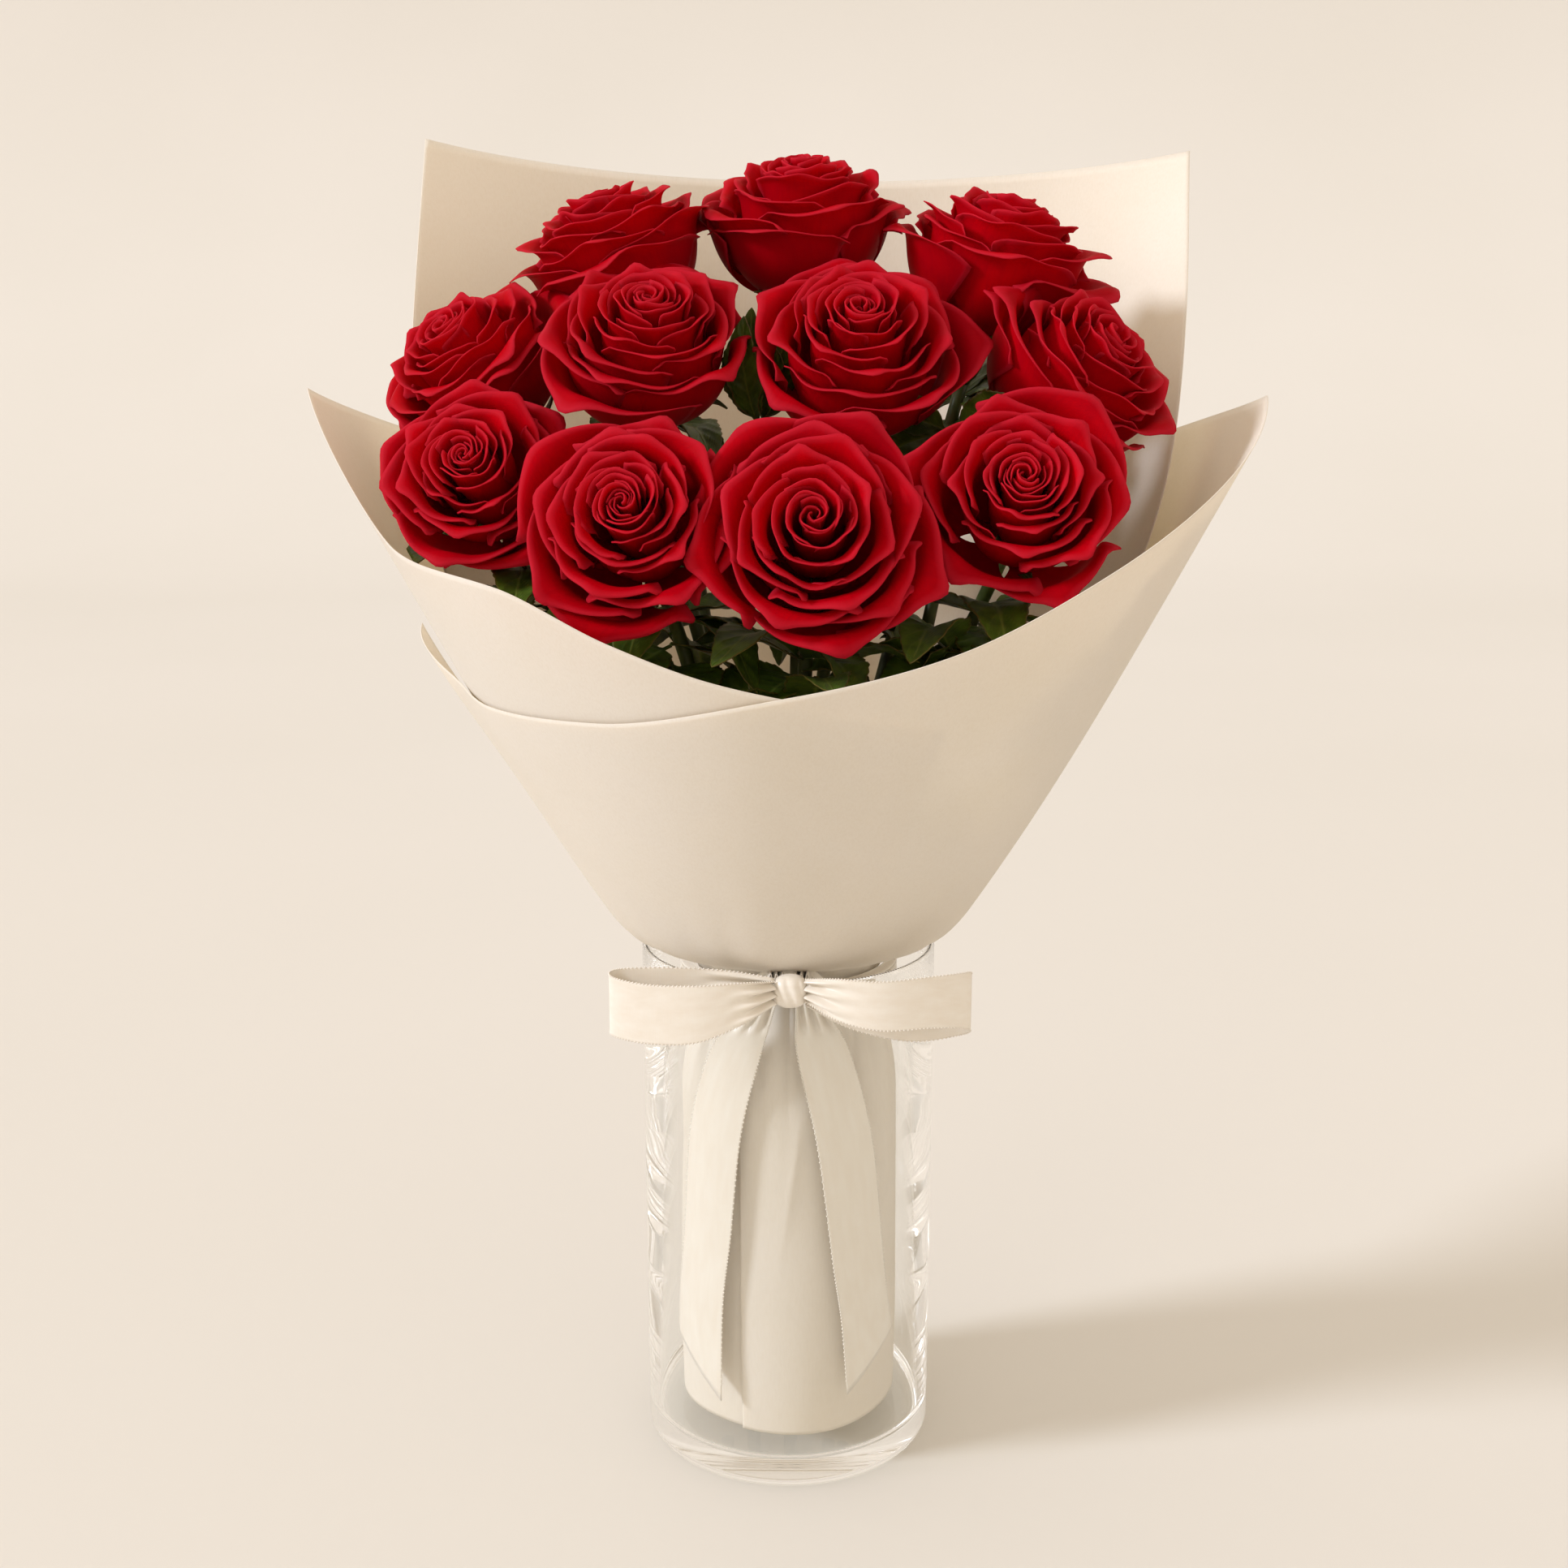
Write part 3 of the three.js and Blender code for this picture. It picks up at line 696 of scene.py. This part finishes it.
def make_calyxes(leaf, stem):
    for index, node in enumerate(numbered("calyx")):
        name = node[-2:]
        _, base, _, lean = bloom_seat(name)
        luck = random.Random(SEEDS["calyx"] + index)
        outline = [(2.9, -15.4), (3.4, -14), (5.0, -11.5), (6.1, -8), (6.3, -5), (5.4, -2.6), (6.6, -0.9),
                   (7.2, 0.6), (5.0, 1.2)]
        angles = np.linspace(0, 2 * math.pi, 20, endpoint=False)
        rings = np.array([[(r * math.cos(a), r * math.sin(a), z) for a in angles] for r, z in outline]) * MM
        hip = loft(f"rose_{name}_hip", [rings @ lean.T + base])
        finished(hip, "calyx_green", [stem], node)
        skin = Skin()
        for k in range(5):
            turn = 2 * math.pi * k / 5 + luck.uniform(-0.15, 0.15)
            rows, columns = 16, 7
            u, v = grid(rows, columns)
            length = luck.uniform(25, 33)
            curl = luck.uniform(0.2, 1.5)
            # a sepal clings to the cup first and then bends away from it
            lean_now = np.radians(74 - 56 * np.minimum(v * 1.3, 1) + 85 * curl * smoothstep(0.5, 1, v))
            dr = np.sin(lean_now) * length / (rows - 1)
            dz = np.cos(lean_now) * length / (rows - 1)
            radius = 4.9 + np.cumsum(dr, axis=0)
            height = -2.6 + np.cumsum(dz, axis=0)
            wide = 3.5 * (1 - v) ** 0.75 * (0.75 + 0.6 * np.sin(math.pi * v)) + 0.25
            y = u * wide
            x = radius - (y ** 2) / (2 * radius)
            z = height + 0.5 * np.abs(u) * (1 - v)
            points = turned(x, y, z, turn) * MM @ lean.T + base
            marks = {"rim": np.abs(u) ** 2, "vein": np.exp(-(u / 0.2) ** 2)}
            skin.patch(points, 0.6 * MM, np.stack([(u + 1) / 2, v], -1), marks, (0, 0, 0))
        finished(skin.piece(f"rose_{name}_sepals"), "calyx_green", [leaf], node)


def leaflet(skin, start, along, across, lift, length, half, luck):
    """One toothed leaflet with a midrib, side veins and a slight arch, from its short stalk to its tip."""
    u, v = grid(48, 21)
    blade = smoothstep(0.08, 0.15, v)
    shape = np.sin(math.pi * np.clip((v - 0.08) / 0.92, 0, 1) ** 0.82) ** 0.8 * blade
    teeth = 1 + 0.09 * (((v * 15) % 1) - 0.5) * blade
    side = u * (half * shape * teeth + 0.75 * MM * (1 - blade) + 0.05 * MM)
    veins = 0.5 + 0.5 * np.cos((v * 9 - np.abs(u) * 1.7) * 2 * math.pi)
    fold = np.abs(side) * luck.uniform(0.15, 0.4)
    ripple = 0.6 * MM * np.sin(v * 24 + u * 2.2) * np.abs(u) * shape + 0.25 * MM * veins * shape
    rise = length * 0.09 * np.sin(math.pi * v) - length * luck.uniform(0.02, 0.16) * smoothstep(0.6, 1, v)
    place = start + along * (v * length)[..., None] + across * side[..., None]
    place = place + lift * (rise + fold + ripple)[..., None]
    place = inside_wrap(place, 6.0)
    rib = np.exp(-(u / 0.07) ** 2) + 0.55 * np.clip(veins * 3 - 2.2, 0, 1)
    skin.patch(place, 0.45 * MM, np.stack([(u + 1) / 2, v], -1),
               {"vein": np.clip(rib, 0, 1), "rim": np.abs(u) ** 3}, (0, 0, 0))


def direction(turn, rise):
    """A unit vector turned round +Z from +X and raised (radians), and the level one square to it."""
    c, s = math.cos(turn), math.sin(turn)
    return np.array([c * math.cos(rise), s * math.cos(rise), math.sin(rise)]), np.array([-s, c, 0.0])


def make_leaves(material):
    """Each leaf has a large leaflet at its tip and two pairs of smaller ones at its foot."""
    for index, node in enumerate(numbered("leaf")):
        luck = random.Random(SEEDS["leaf"] + index)
        points = place_of(node)
        centre = points.mean(0)
        spread = np.linalg.svd(points - centre)[2]
        along, across = spread[0], spread[1]
        ends = (points - centre) @ along
        stem_side = points[ends < ends.min() + 0.004].mean(0)
        tip_side = points[ends > ends.max() - 0.004].mean(0)
        if np.hypot(*stem_side[:2]) > np.hypot(*tip_side[:2]):
            stem_side, tip_side, along = tip_side, stem_side, -along
        lift = np.cross(across, along)
        if lift[2] < 0:
            across, lift = -across, -lift
        length = (tip_side - stem_side) @ along
        half = max(abs((points - centre) @ across)) * 1.04
        skin = Skin()
        leaflet(skin, stem_side, along, across, lift, length, half, luck)
        pairs = ((-1, 50, 66, 0.66), (1, 50, 66, 0.66), (-1, 96, 116, 0.6), (1, 96, 116, 0.6))
        for way, low, high, share in pairs:
            turn = Matrix.Rotation(math.radians(way * luck.uniform(low, high)), 3, Vector(lift))
            tilt = Matrix.Rotation(math.radians(luck.uniform(-22, 22)), 3, Vector(along))
            sideways = np.array(tilt @ turn @ Vector(along))
            flat = np.array(tilt @ turn @ Vector(across))
            leaflet(skin, stem_side + along * length * 0.05, sideways, flat, np.cross(flat, sideways),
                    length * share * luck.uniform(1.0, 1.3), half * 0.9, luck)
        # a lower leaf on the same stem hangs out towards the paper and fills the gaps
        for k in range(7):
            turn = math.radians(51 * k + luck.uniform(-20, 20))
            down = math.radians(luck.uniform(8, 46))
            sideways, flat = direction(turn, -down)
            flat = flat + np.cross(sideways, flat) * luck.uniform(-0.5, 0.5)
            flat /= np.linalg.norm(flat)
            start = stem_side + np.array([0, 0, luck.uniform(-20, -4) * MM])
            leaflet(skin, start, sideways, flat, np.cross(sideways, flat), luck.uniform(32, 44) * MM,
                    half * luck.uniform(0.85, 1.1), luck)
        # and, in the middle of the bunch, a young shoot stands up between the blooms
        for k in range(6 if node == "leaf_01" else 0):
            turn = math.radians(60 * k + luck.uniform(-20, 20))
            rise = math.radians(luck.uniform(62, 82))
            upwards, flat = direction(turn, rise)
            leaflet(skin, centre + np.array([-12, -4, 20]) * MM, upwards, flat, np.cross(flat, upwards),
                    luck.uniform(38, 48) * MM, 9 * MM, luck)
        finished(skin.piece("rose_" + node), "leaf_green", [material], node)


# ---- the paper wrap ----

# These repeat the wrap's own dimensions, in millimetres and degrees from the front.
WRAP_HEIGHT = [207, 213, 218.3, 219.8, 225, 234, 460]
WRAP_RADIUS = [38, 41, 52, 59, 67.5, 75, 198.4]
LAYER = 1.5
LEFT_ANGLE = [-142.5, -107, -90, -66, -41, -25, -11, 4, 22.5]
LEFT_TOP = [396, 424, 436, 379, 371, 354, 342, 334, 325]
FRONT_ANGLE = [-97.5, -80, -60, -31, 0, 13.5, 24.5, 45, 66, 90, 107, 142.5]
FRONT_TOP = [343, 330, 323, 325, 338, 345, 353, 377, 404, 434, 424, 394]


def eased(table_x, table_y, x, corners=()):
    """Reads a table with smooth monotone curves between its points, kept sharp at the named corners."""
    table_x, table_y = np.asarray(table_x, float), np.asarray(table_y, float)
    slopes = np.diff(table_y) / np.diff(table_x)
    left = np.concatenate([[slopes[0]], slopes])
    right = np.concatenate([slopes, [slopes[-1]]])
    middle = np.where(left * right > 0, 2 * left * right / np.where(left + right == 0, 1, left + right), 0)
    out_slope, in_slope = middle.copy(), middle.copy()
    out_slope[0], in_slope[-1] = slopes[0], slopes[-1]
    for i, place in enumerate(table_x):
        if place in corners:
            out_slope[i], in_slope[i] = right[i], left[i]
    k = np.clip(np.searchsorted(table_x, x, side="right") - 1, 0, len(slopes) - 1)
    h = table_x[k + 1] - table_x[k]
    t = (x - table_x[k]) / h
    return ((2 * t ** 3 - 3 * t ** 2 + 1) * table_y[k] + (t ** 3 - 2 * t ** 2 + t) * h * out_slope[k]
            + (-2 * t ** 3 + 3 * t ** 2) * table_y[k + 1] + (t ** 3 - t ** 2) * h * in_slope[k + 1])


def cone_place(z, depth):
    """Radius and height of the wrap at heights z, moved square to the profile by depth."""
    radius = eased(WRAP_HEIGHT, WRAP_RADIUS, z)
    slope = (eased(WRAP_HEIGHT, WRAP_RADIUS, z + 0.4) - eased(WRAP_HEIGHT, WRAP_RADIUS, z - 0.4)) / 0.8
    square = np.sqrt(1 + slope ** 2)
    return radius - depth / square, z + depth * slope / square


def soft_folds(angle, z, seed, neck=1.0, wall=0.6):
    """Gathers at the neck that fade upwards, and slow waves in the wall of the cone."""
    luck = random.Random(seed)
    a = np.radians(angle)
    gather = sum(luck.uniform(0.3, 1) * np.sin(a * n + luck.uniform(0, 6.3)) for n in (13, 19, 29)) / 2
    slow = sum(luck.uniform(0.4, 1) * np.sin(a * n + luck.uniform(0, 6.3)) for n in (2, 3, 5)) / 2
    near_neck = np.exp(-np.clip(z - 222, 0, None) / 26)
    return neck * gather * near_neck + wall * slow * smoothstep(250, 400, z)


def paper_sheet(name, columns, rows, surface, materials, node):
    """A grid bent to a surface and given the thickness of wrapping paper."""
    piece = grid_sheet(name, columns, rows, surface)
    thicken(piece, 0.35 * MM)
    finished(piece, "cream_paper", materials, node)


def cone_sheet(name, angles, tops, corners, depth, seed, materials, node, flare=None):
    def surface(u, v):
        angle = angles[0] + (angles[-1] - angles[0]) * u
        top = eased(angles, tops, angle, corners)
        neck, low = 232.0, 0.16
        z = np.where(v < low, WRAP_HEIGHT[0] + (neck - WRAP_HEIGHT[0]) * v / low,
                     neck + (top - neck) * (v - low) / (1 - low))
        radius, z = cone_place(z, depth)
        radius = radius + soft_folds(angle, z, seed, neck=0.55)
        if flare:
            radius = radius + flare(angle, z, top)
        return from_front(radius, angle, z) * MM
    paper_sheet(name, 220, 70, surface, materials, node)


BACK_Z = [340, 400, 462, 542]
BACK_LEFT = [127, 148, 156, 157]
BACK_RIGHT = [128, 152, 165, 174]
BACK_SIDE = [4, 22, 60, 110]
BACK_MIDDLE = [127, 147, 152, 151]


BACK_NECK = 236


def make_back_sheet(materials):
    cone_z = np.array(WRAP_HEIGHT[:-1])
    cone_r, cone_up = cone_place(cone_z, 2 * LAYER)
    levels = np.concatenate([cone_up, BACK_Z])
    tables = {"left": np.concatenate([cone_r, BACK_LEFT]), "right": np.concatenate([cone_r, BACK_RIGHT]),
              "side": np.concatenate([cone_r * 0, BACK_SIDE]),
              "middle": np.concatenate([cone_r, BACK_MIDDLE])}

    def surface(u, v):
        low = 0.14
        z = np.where(v < low, levels[0] + (BACK_NECK - levels[0]) * v / low,
                     BACK_NECK + (BACK_Z[-1] - BACK_NECK) * (v - low) / (1 - low))
        read = lambda key: eased(levels, tables[key], z)
        arc = np.radians(90 - 38 * smoothstep(BACK_Z[0], BACK_Z[-1], z))
        angle = -arc + 2 * arc * u
        side = np.sin(angle) / np.sin(arc)
        bulge = (np.cos(angle) - np.cos(arc)) / (1 - np.cos(arc))
        drop = smoothstep(470, BACK_Z[-1], z) * (11 * bulge + 5 * (side + 1) / 2)
        x = side * np.where(side < 0, read("left"), read("right"))
        y = read("side") + (read("middle") - read("side")) * bulge
        wave = soft_folds(np.degrees(angle), z, 5, neck=0.5, wall=1.3)
        return np.stack([x, y + wave * bulge, z - drop], -1) * MM
    paper_sheet("paper_back", 160, 90, surface, materials, "paper_back_sheet")


def make_skirt(materials):
    """The lower paper: pleated tight at the neck, opening into broad creases."""
    foot, neck = 18, 205.5
    luck = random.Random(SEEDS["creases"])
    creases = [(luck.uniform(0, 360), luck.uniform(3.5, 9), luck.uniform(-3.6, 2.2), luck.uniform(126, 205),
                luck.uniform(-0.28, 0.28)) for _ in range(60)]

    def surface(u, v):
        z = foot + (neck - foot) * v
        angle = -24 + 376 * u
        radius = eased([foot, 60, 150, 186, 198, neck], [46, 47.5, 48, 42, 36, 32.5], z) - 1.7 * u
        a = np.radians(angle)
        pleat = np.abs(np.sin(a * 10.5 + 0.7 * np.sin(a * 3))) - 0.5
        inside_ends = smoothstep(0, 0.02, u) * smoothstep(0, 0.02, 1 - u)
        radius = radius + 1.9 * pleat * smoothstep(140, 200, z) * inside_ends
        radius = radius + 0.9 * np.sin(a * 4 + 0.8) * (1 - smoothstep(20, 180, z))
        for place, width, depth, top, slant in creases:
            off = (angle - place - slant * (z - top) + 180) % 360 - 180
            radius = radius + depth * np.exp(-np.abs(off / width) ** 1.15) * np.exp(-((z - top) / 26) ** 2)
        return from_front(radius, angle, z) * MM
    paper_sheet("paper_lower_wrap", 330, 110, surface, materials, "paper_skirt")


def make_paper():
    materials = [paper_finish("cream_paper", linear(248, 244, 237), linear(245, 240, 230))]
    crescent = lambda angle, z, top: (12.5 * smoothstep(-72, -97.5, angle) * smoothstep(250, 343, z)
                                      + 1.0 * smoothstep(60, 90, angle) * smoothstep(330, 430, z))
    tip = lambda angle, z, top: 1.5 * smoothstep(-60, -90, angle) * smoothstep(330, 430, z)
    cone_sheet("paper_front", FRONT_ANGLE, FRONT_TOP, (90,), 0, 3, materials, "paper_front_sheet", crescent)
    cone_sheet("paper_left", LEFT_ANGLE, LEFT_TOP, (-90,), LAYER, 4, materials, "paper_left_sheet", tip)
    make_back_sheet(materials)
    make_skirt(materials)


# ---- the ribbon ----

RIBBON_WIDTH = 22.5
PICOT_STEP = 1.3
BAND_RADIUS = 41.2
TAIL_RADIUS = 53.4


def ribbon_strip(name, rows, node, material, steps=90, beads=True,
                 both_ways=False):
    """A strip of ribbon through rows of (left edge, right edge) points. Where the strip is narrower than
    the ribbon, the spare width goes into pleats."""
    left = smooth_line([r[0] for r in rows], steps)
    right = smooth_line([r[1] for r in rows], steps)
    bow = smooth_line([list(r[2]) if len(r) > 2 else (0, 0, 0) for r in rows], steps)
    normal = np.cross(right - left, np.gradient((left + right) / 2, axis=0))
    normal /= np.linalg.norm(normal, axis=1, keepdims=True)
    width = np.linalg.norm(right - left, axis=1)
    spare = np.sqrt(np.clip(RIBBON_WIDTH ** 2 - width ** 2, 0, None)) / 12.5 * (1 - smoothstep(13, 19, width))

    def surface(u, v):
        i = np.clip(np.round(v * (steps - 1)).astype(int), 0, steps - 1)
        across = u[:, None]
        turn = 2 * math.pi * 3 * across + 0.5 * np.sin(v[:, None] * 9)
        pleat = np.sin(turn) if both_ways else 1 - np.cos(turn)
        pleat = pleat * np.minimum(1, np.minimum(across, 1 - across) * 12)
        place = left[i] * (1 - across) + right[i] * across + bow[i] * np.sin(math.pi * across)
        return (place + normal[i] * pleat * spare[i][:, None]) * MM
    piece = grid_sheet(name, 36, steps - 1, surface)
    thicken(piece, 0.3 * MM)
    finished(piece, "satin_ribbon", [material], node)
    if beads:
        places = []
        for edge in (left, right):
            length = np.linalg.norm(np.diff(edge, axis=0), axis=1).sum()
            places += list(smooth_line(edge[::3], int(length / PICOT_STEP)) * MM)
        picot = bead_row(name + "_picot", places, 0.4 * MM)
        finished(picot, "satin_ribbon", [material], node)


def bead_row(name, places, radius):
    """Many small beads as one mesh."""
    bpy.ops.mesh.primitive_uv_sphere_add(segments=6, ring_count=4, radius=radius)
    bead = bpy.context.object
    base = np.array([v.co for v in bead.data.vertices])
    faces = [tuple(p.vertices) for p in bead.data.polygons]
    bpy.data.objects.remove(bead)
    count = len(base)
    return add_mesh(name, [base + p for p in places],
                    [tuple(i + count * k for i in face) for k in range(len(places)) for face in faces])


def loop_rows(stations):
    """Stations of x, y, middle height and height of the strip, as edge rows."""
    return [((x, y, z - h / 2), (x, y, z + h / 2)) for x, y, z, h in stations]


def tail_rows(stations, side, cut):
    over = [(-64, 216.1), (-56.4, 216.1), (-52.8, 211.6)]
    rows = []
    for i, (y, z) in enumerate(over):
        middle = side * (4.8 + i * 0.9)
        rows.append(((middle - 3.5, y, z), (middle + 3.5, y, z), (0, 0, 0.6)))
    for k, (z, angle, width) in enumerate(stations):
        half = math.degrees(width / 2 / TAIL_RADIUS)
        edges = []
        for way in (-1, 1):
            rise = cut * way * side if k == len(stations) - 1 else 0
            edges.append(from_front(TAIL_RADIUS, angle + way * half, z + rise))
        out = TAIL_RADIUS * (1 - math.cos(math.radians(half)))
        rows.append((edges[0], edges[1], from_front(out, angle, 0)))
    return rows


def make_ribbon(material):
    right = [(6.4, -73, 217, 9), (18, -79, 215.5, 16), (34, -82, 214, 19), (53, -79, 214.5, 20),
             (67, -74, 213.5, 22), (65, -69.5, 210, 23), (46, -68.5, 207, 23), (24, -69, 210, 19),
             (6.4, -70, 214, 8)]
    left = [(-5.4, -73, 216, 9), (-17, -79, 214, 16), (-34, -81, 210.5, 22), (-52, -78, 209.5, 23),
            (-66, -73, 211, 23), (-64, -68.5, 213, 22), (-45, -68, 214, 21), (-24, -68.5, 216, 15),
            (-5.4, -70, 217, 8)]
    ribbon_strip("ribbon_right_loop", loop_rows(right), "ribbon_loop_right", material,
                 both_ways=True)
    ribbon_strip("ribbon_left_loop", loop_rows(left), "ribbon_loop_left", material,
                 both_ways=True)
    tail_left = [(199, -14, 13), (183, -23, 21), (150, -33, 24), (106, -38, 24), (75, -42, 24), (44, -43, 24)]
    tail_right = [(199, 10, 13), (183, 15, 21), (145, 25, 24), (95, 32, 24), (70, 36, 24), (48, 39, 24)]
    ribbon_strip("ribbon_left_tail", tail_rows(tail_left, -1, 11), "ribbon_tail_left",
                 material)
    ribbon_strip("ribbon_right_tail", tail_rows(tail_right, 1, 11), "ribbon_tail_right",
                 material)
    # up one side of the knot, round the back of the neck and down the other side, as point and uprightness
    ends = [((4.6, -64.4, 217.3), 0), ((5.2, -57, 217.3), 0),
            ((8, -50, 213.6), 0.15), ((15, -42, 207.5), 0.5)]
    band = [((-x, y, z), upright) for (x, y, z), upright in ends]
    band += [(from_front(BAND_RADIUS, a, 206), 1) for a in range(-45, -361 + 45, -30)]
    band += ends[::-1]
    rows = []
    for k, (point, upright) in enumerate(band):
        side = 1 if k < len(band) / 2 else -1
        across = Vector((side * (1 - upright), 0, upright)).normalized() * 3.4
        rows.append((tuple(Vector(point) - across), tuple(Vector(point) + across)))
    ribbon_strip("ribbon_neck_band", rows, "ribbon_band", material,
                 steps=140, beads=False)
    make_knot(material)


def make_knot(material):
    """The knot: a short wrap of ribbon gathered into upright pleats."""
    low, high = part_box("ribbon_knot")
    centre = (low + high) / 2
    half = (high - low) / 2 * 1.08
    bpy.ops.mesh.primitive_uv_sphere_add(segments=72, ring_count=40, radius=1)
    piece = bpy.context.object
    piece.name = "ribbon_bow_knot"
    points = np.array([v.co for v in piece.data.vertices])
    square = np.sign(points) * np.abs(points) ** 0.78
    square /= np.abs(square).max(0)
    around = square[:, 0]
    pleat = np.abs(np.sin(around * 4.6 + 0.9 * square[:, 2] + 0.35 * np.sin(square[:, 2] * 3))) - 0.4
    front = smoothstep(-0.2, 0.6, -square[:, 1])
    waist = 1 - 0.12 * (1 - square[:, 2] ** 2)
    place = np.stack([square[:, 0] * half.x * waist, square[:, 1] * half.y * (1 + 0.16 * pleat * front),
                      square[:, 2] * half.z * (1 - 0.05 * np.abs(around))], -1) + np.array(centre)
    piece.data.vertices.foreach_set("co", place.astype(np.float32).ravel())
    piece.data.update()
    finished(piece, "satin_ribbon", [material], "ribbon_knot")


# ---- the vase ----

def make_vase(material):
    """A cylinder, hollowed from above, with a thick floor, a rounded foot and a polished rim."""
    low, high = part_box("vase")
    radius, height = (high.x - low.x) / 2, high.z - low.z
    wall, floor = 3 * MM, 12 * MM
    foot_round, inner_round, rim_round = 6 * MM, 5 * MM, 1.2 * MM
    bpy.ops.object.select_all(action="DESELECT")
    bpy.ops.mesh.primitive_cylinder_add(vertices=256, radius=radius, depth=height,
                                        location=(0, 0, height / 2))
    piece = bpy.context.object
    piece.name = "glass_vase"
    to_mode = lambda mode: bpy.ops.object.mode_set(mode=mode)
    to_mode("EDIT")
    bpy.ops.mesh.select_mode(type="FACE")

    def pick(test):
        bpy.ops.mesh.select_all(action="DESELECT")
        to_mode("OBJECT")
        for polygon in piece.data.polygons:
            centre = piece.matrix_world @ polygon.center
            polygon.select = test(centre, polygon.normal)
        to_mode("EDIT")

    pick(lambda c, n: n.z > 0.9)
    bpy.ops.mesh.inset(thickness=wall, depth=0)
    pick(lambda c, n: n.z > 0.9 and math.hypot(c.x, c.y) < radius / 2)
    bpy.ops.mesh.extrude_region_move(TRANSFORM_OT_translate={"value": (0, 0, floor - height)})
    to_mode("OBJECT")
    bpy.ops.object.transform_apply(location=True, rotation=True, scale=True)

    def round_edge(test, size, segments):
        to_mode("EDIT")
        bpy.ops.mesh.select_mode(type="EDGE")
        bpy.ops.mesh.select_all(action="DESELECT")
        to_mode("OBJECT")
        points = piece.data.vertices
        for edge in piece.data.edges:
            a, b = (points[i].co for i in edge.vertices)
            middle = (math.hypot(a.x, a.y) + math.hypot(b.x, b.y)) / 2
            edge.select = abs(a.z - b.z) < 1e-5 and test(middle, a.z)
        to_mode("EDIT")
        bpy.ops.mesh.bevel(offset=size, segments=segments, affect="EDGES")
        to_mode("OBJECT")

    round_edge(lambda r, z: r > radius - 1e-3 and z < 1e-4, foot_round, 8)
    round_edge(lambda r, z: radius / 2 < r < radius - wall + 1e-3 and abs(z - floor) < 1e-4, inner_round, 8)
    round_edge(lambda r, z: z > height - 1e-4, rim_round, 5)
    bpy.ops.object.shade_smooth_by_angle(angle=math.radians(35))
    finished(piece, "clear_glass", [material], "vase", smooth=False)


def make_twine(material):
    low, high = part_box("stem_twine")
    radius = (high.x - low.x) / 2 - 1.0 * MM
    turns = 5
    count = turns * 48
    bottom, top = low.z + 1.1 * MM, high.z - 1.1 * MM
    angles = [2 * math.pi * turns * i / count for i in range(count + 1)]
    line = [(radius * math.cos(a), radius * math.sin(a), bottom + (top - bottom) * i / count)
            for i, a in enumerate(angles)]
    piece = loft("twine_tie", [tube(line, [0.85 * MM] * len(line), 8)])
    finished(piece, "tie_twine", [material], "stem_twine")


make_camera()
make_lights()
floor = make_floor()
floor.data.materials.append(floor_finish())
make_vase(glass_finish())
make_paper()
make_ribbon(satin_finish())
make_roses()
leaf_green = leaf_finish("leaf_green", linear(96, 122, 36), linear(48, 70, 16), linear(134, 150, 66))
calyx_green = leaf_finish("calyx_green", linear(84, 104, 44), linear(56, 74, 30), linear(120, 128, 70))
stem_green = stem_finish()
make_calyxes(calyx_green, stem_green)
make_leaves(leaf_green)
make_stems(stem_green)
make_twine(twine_finish())
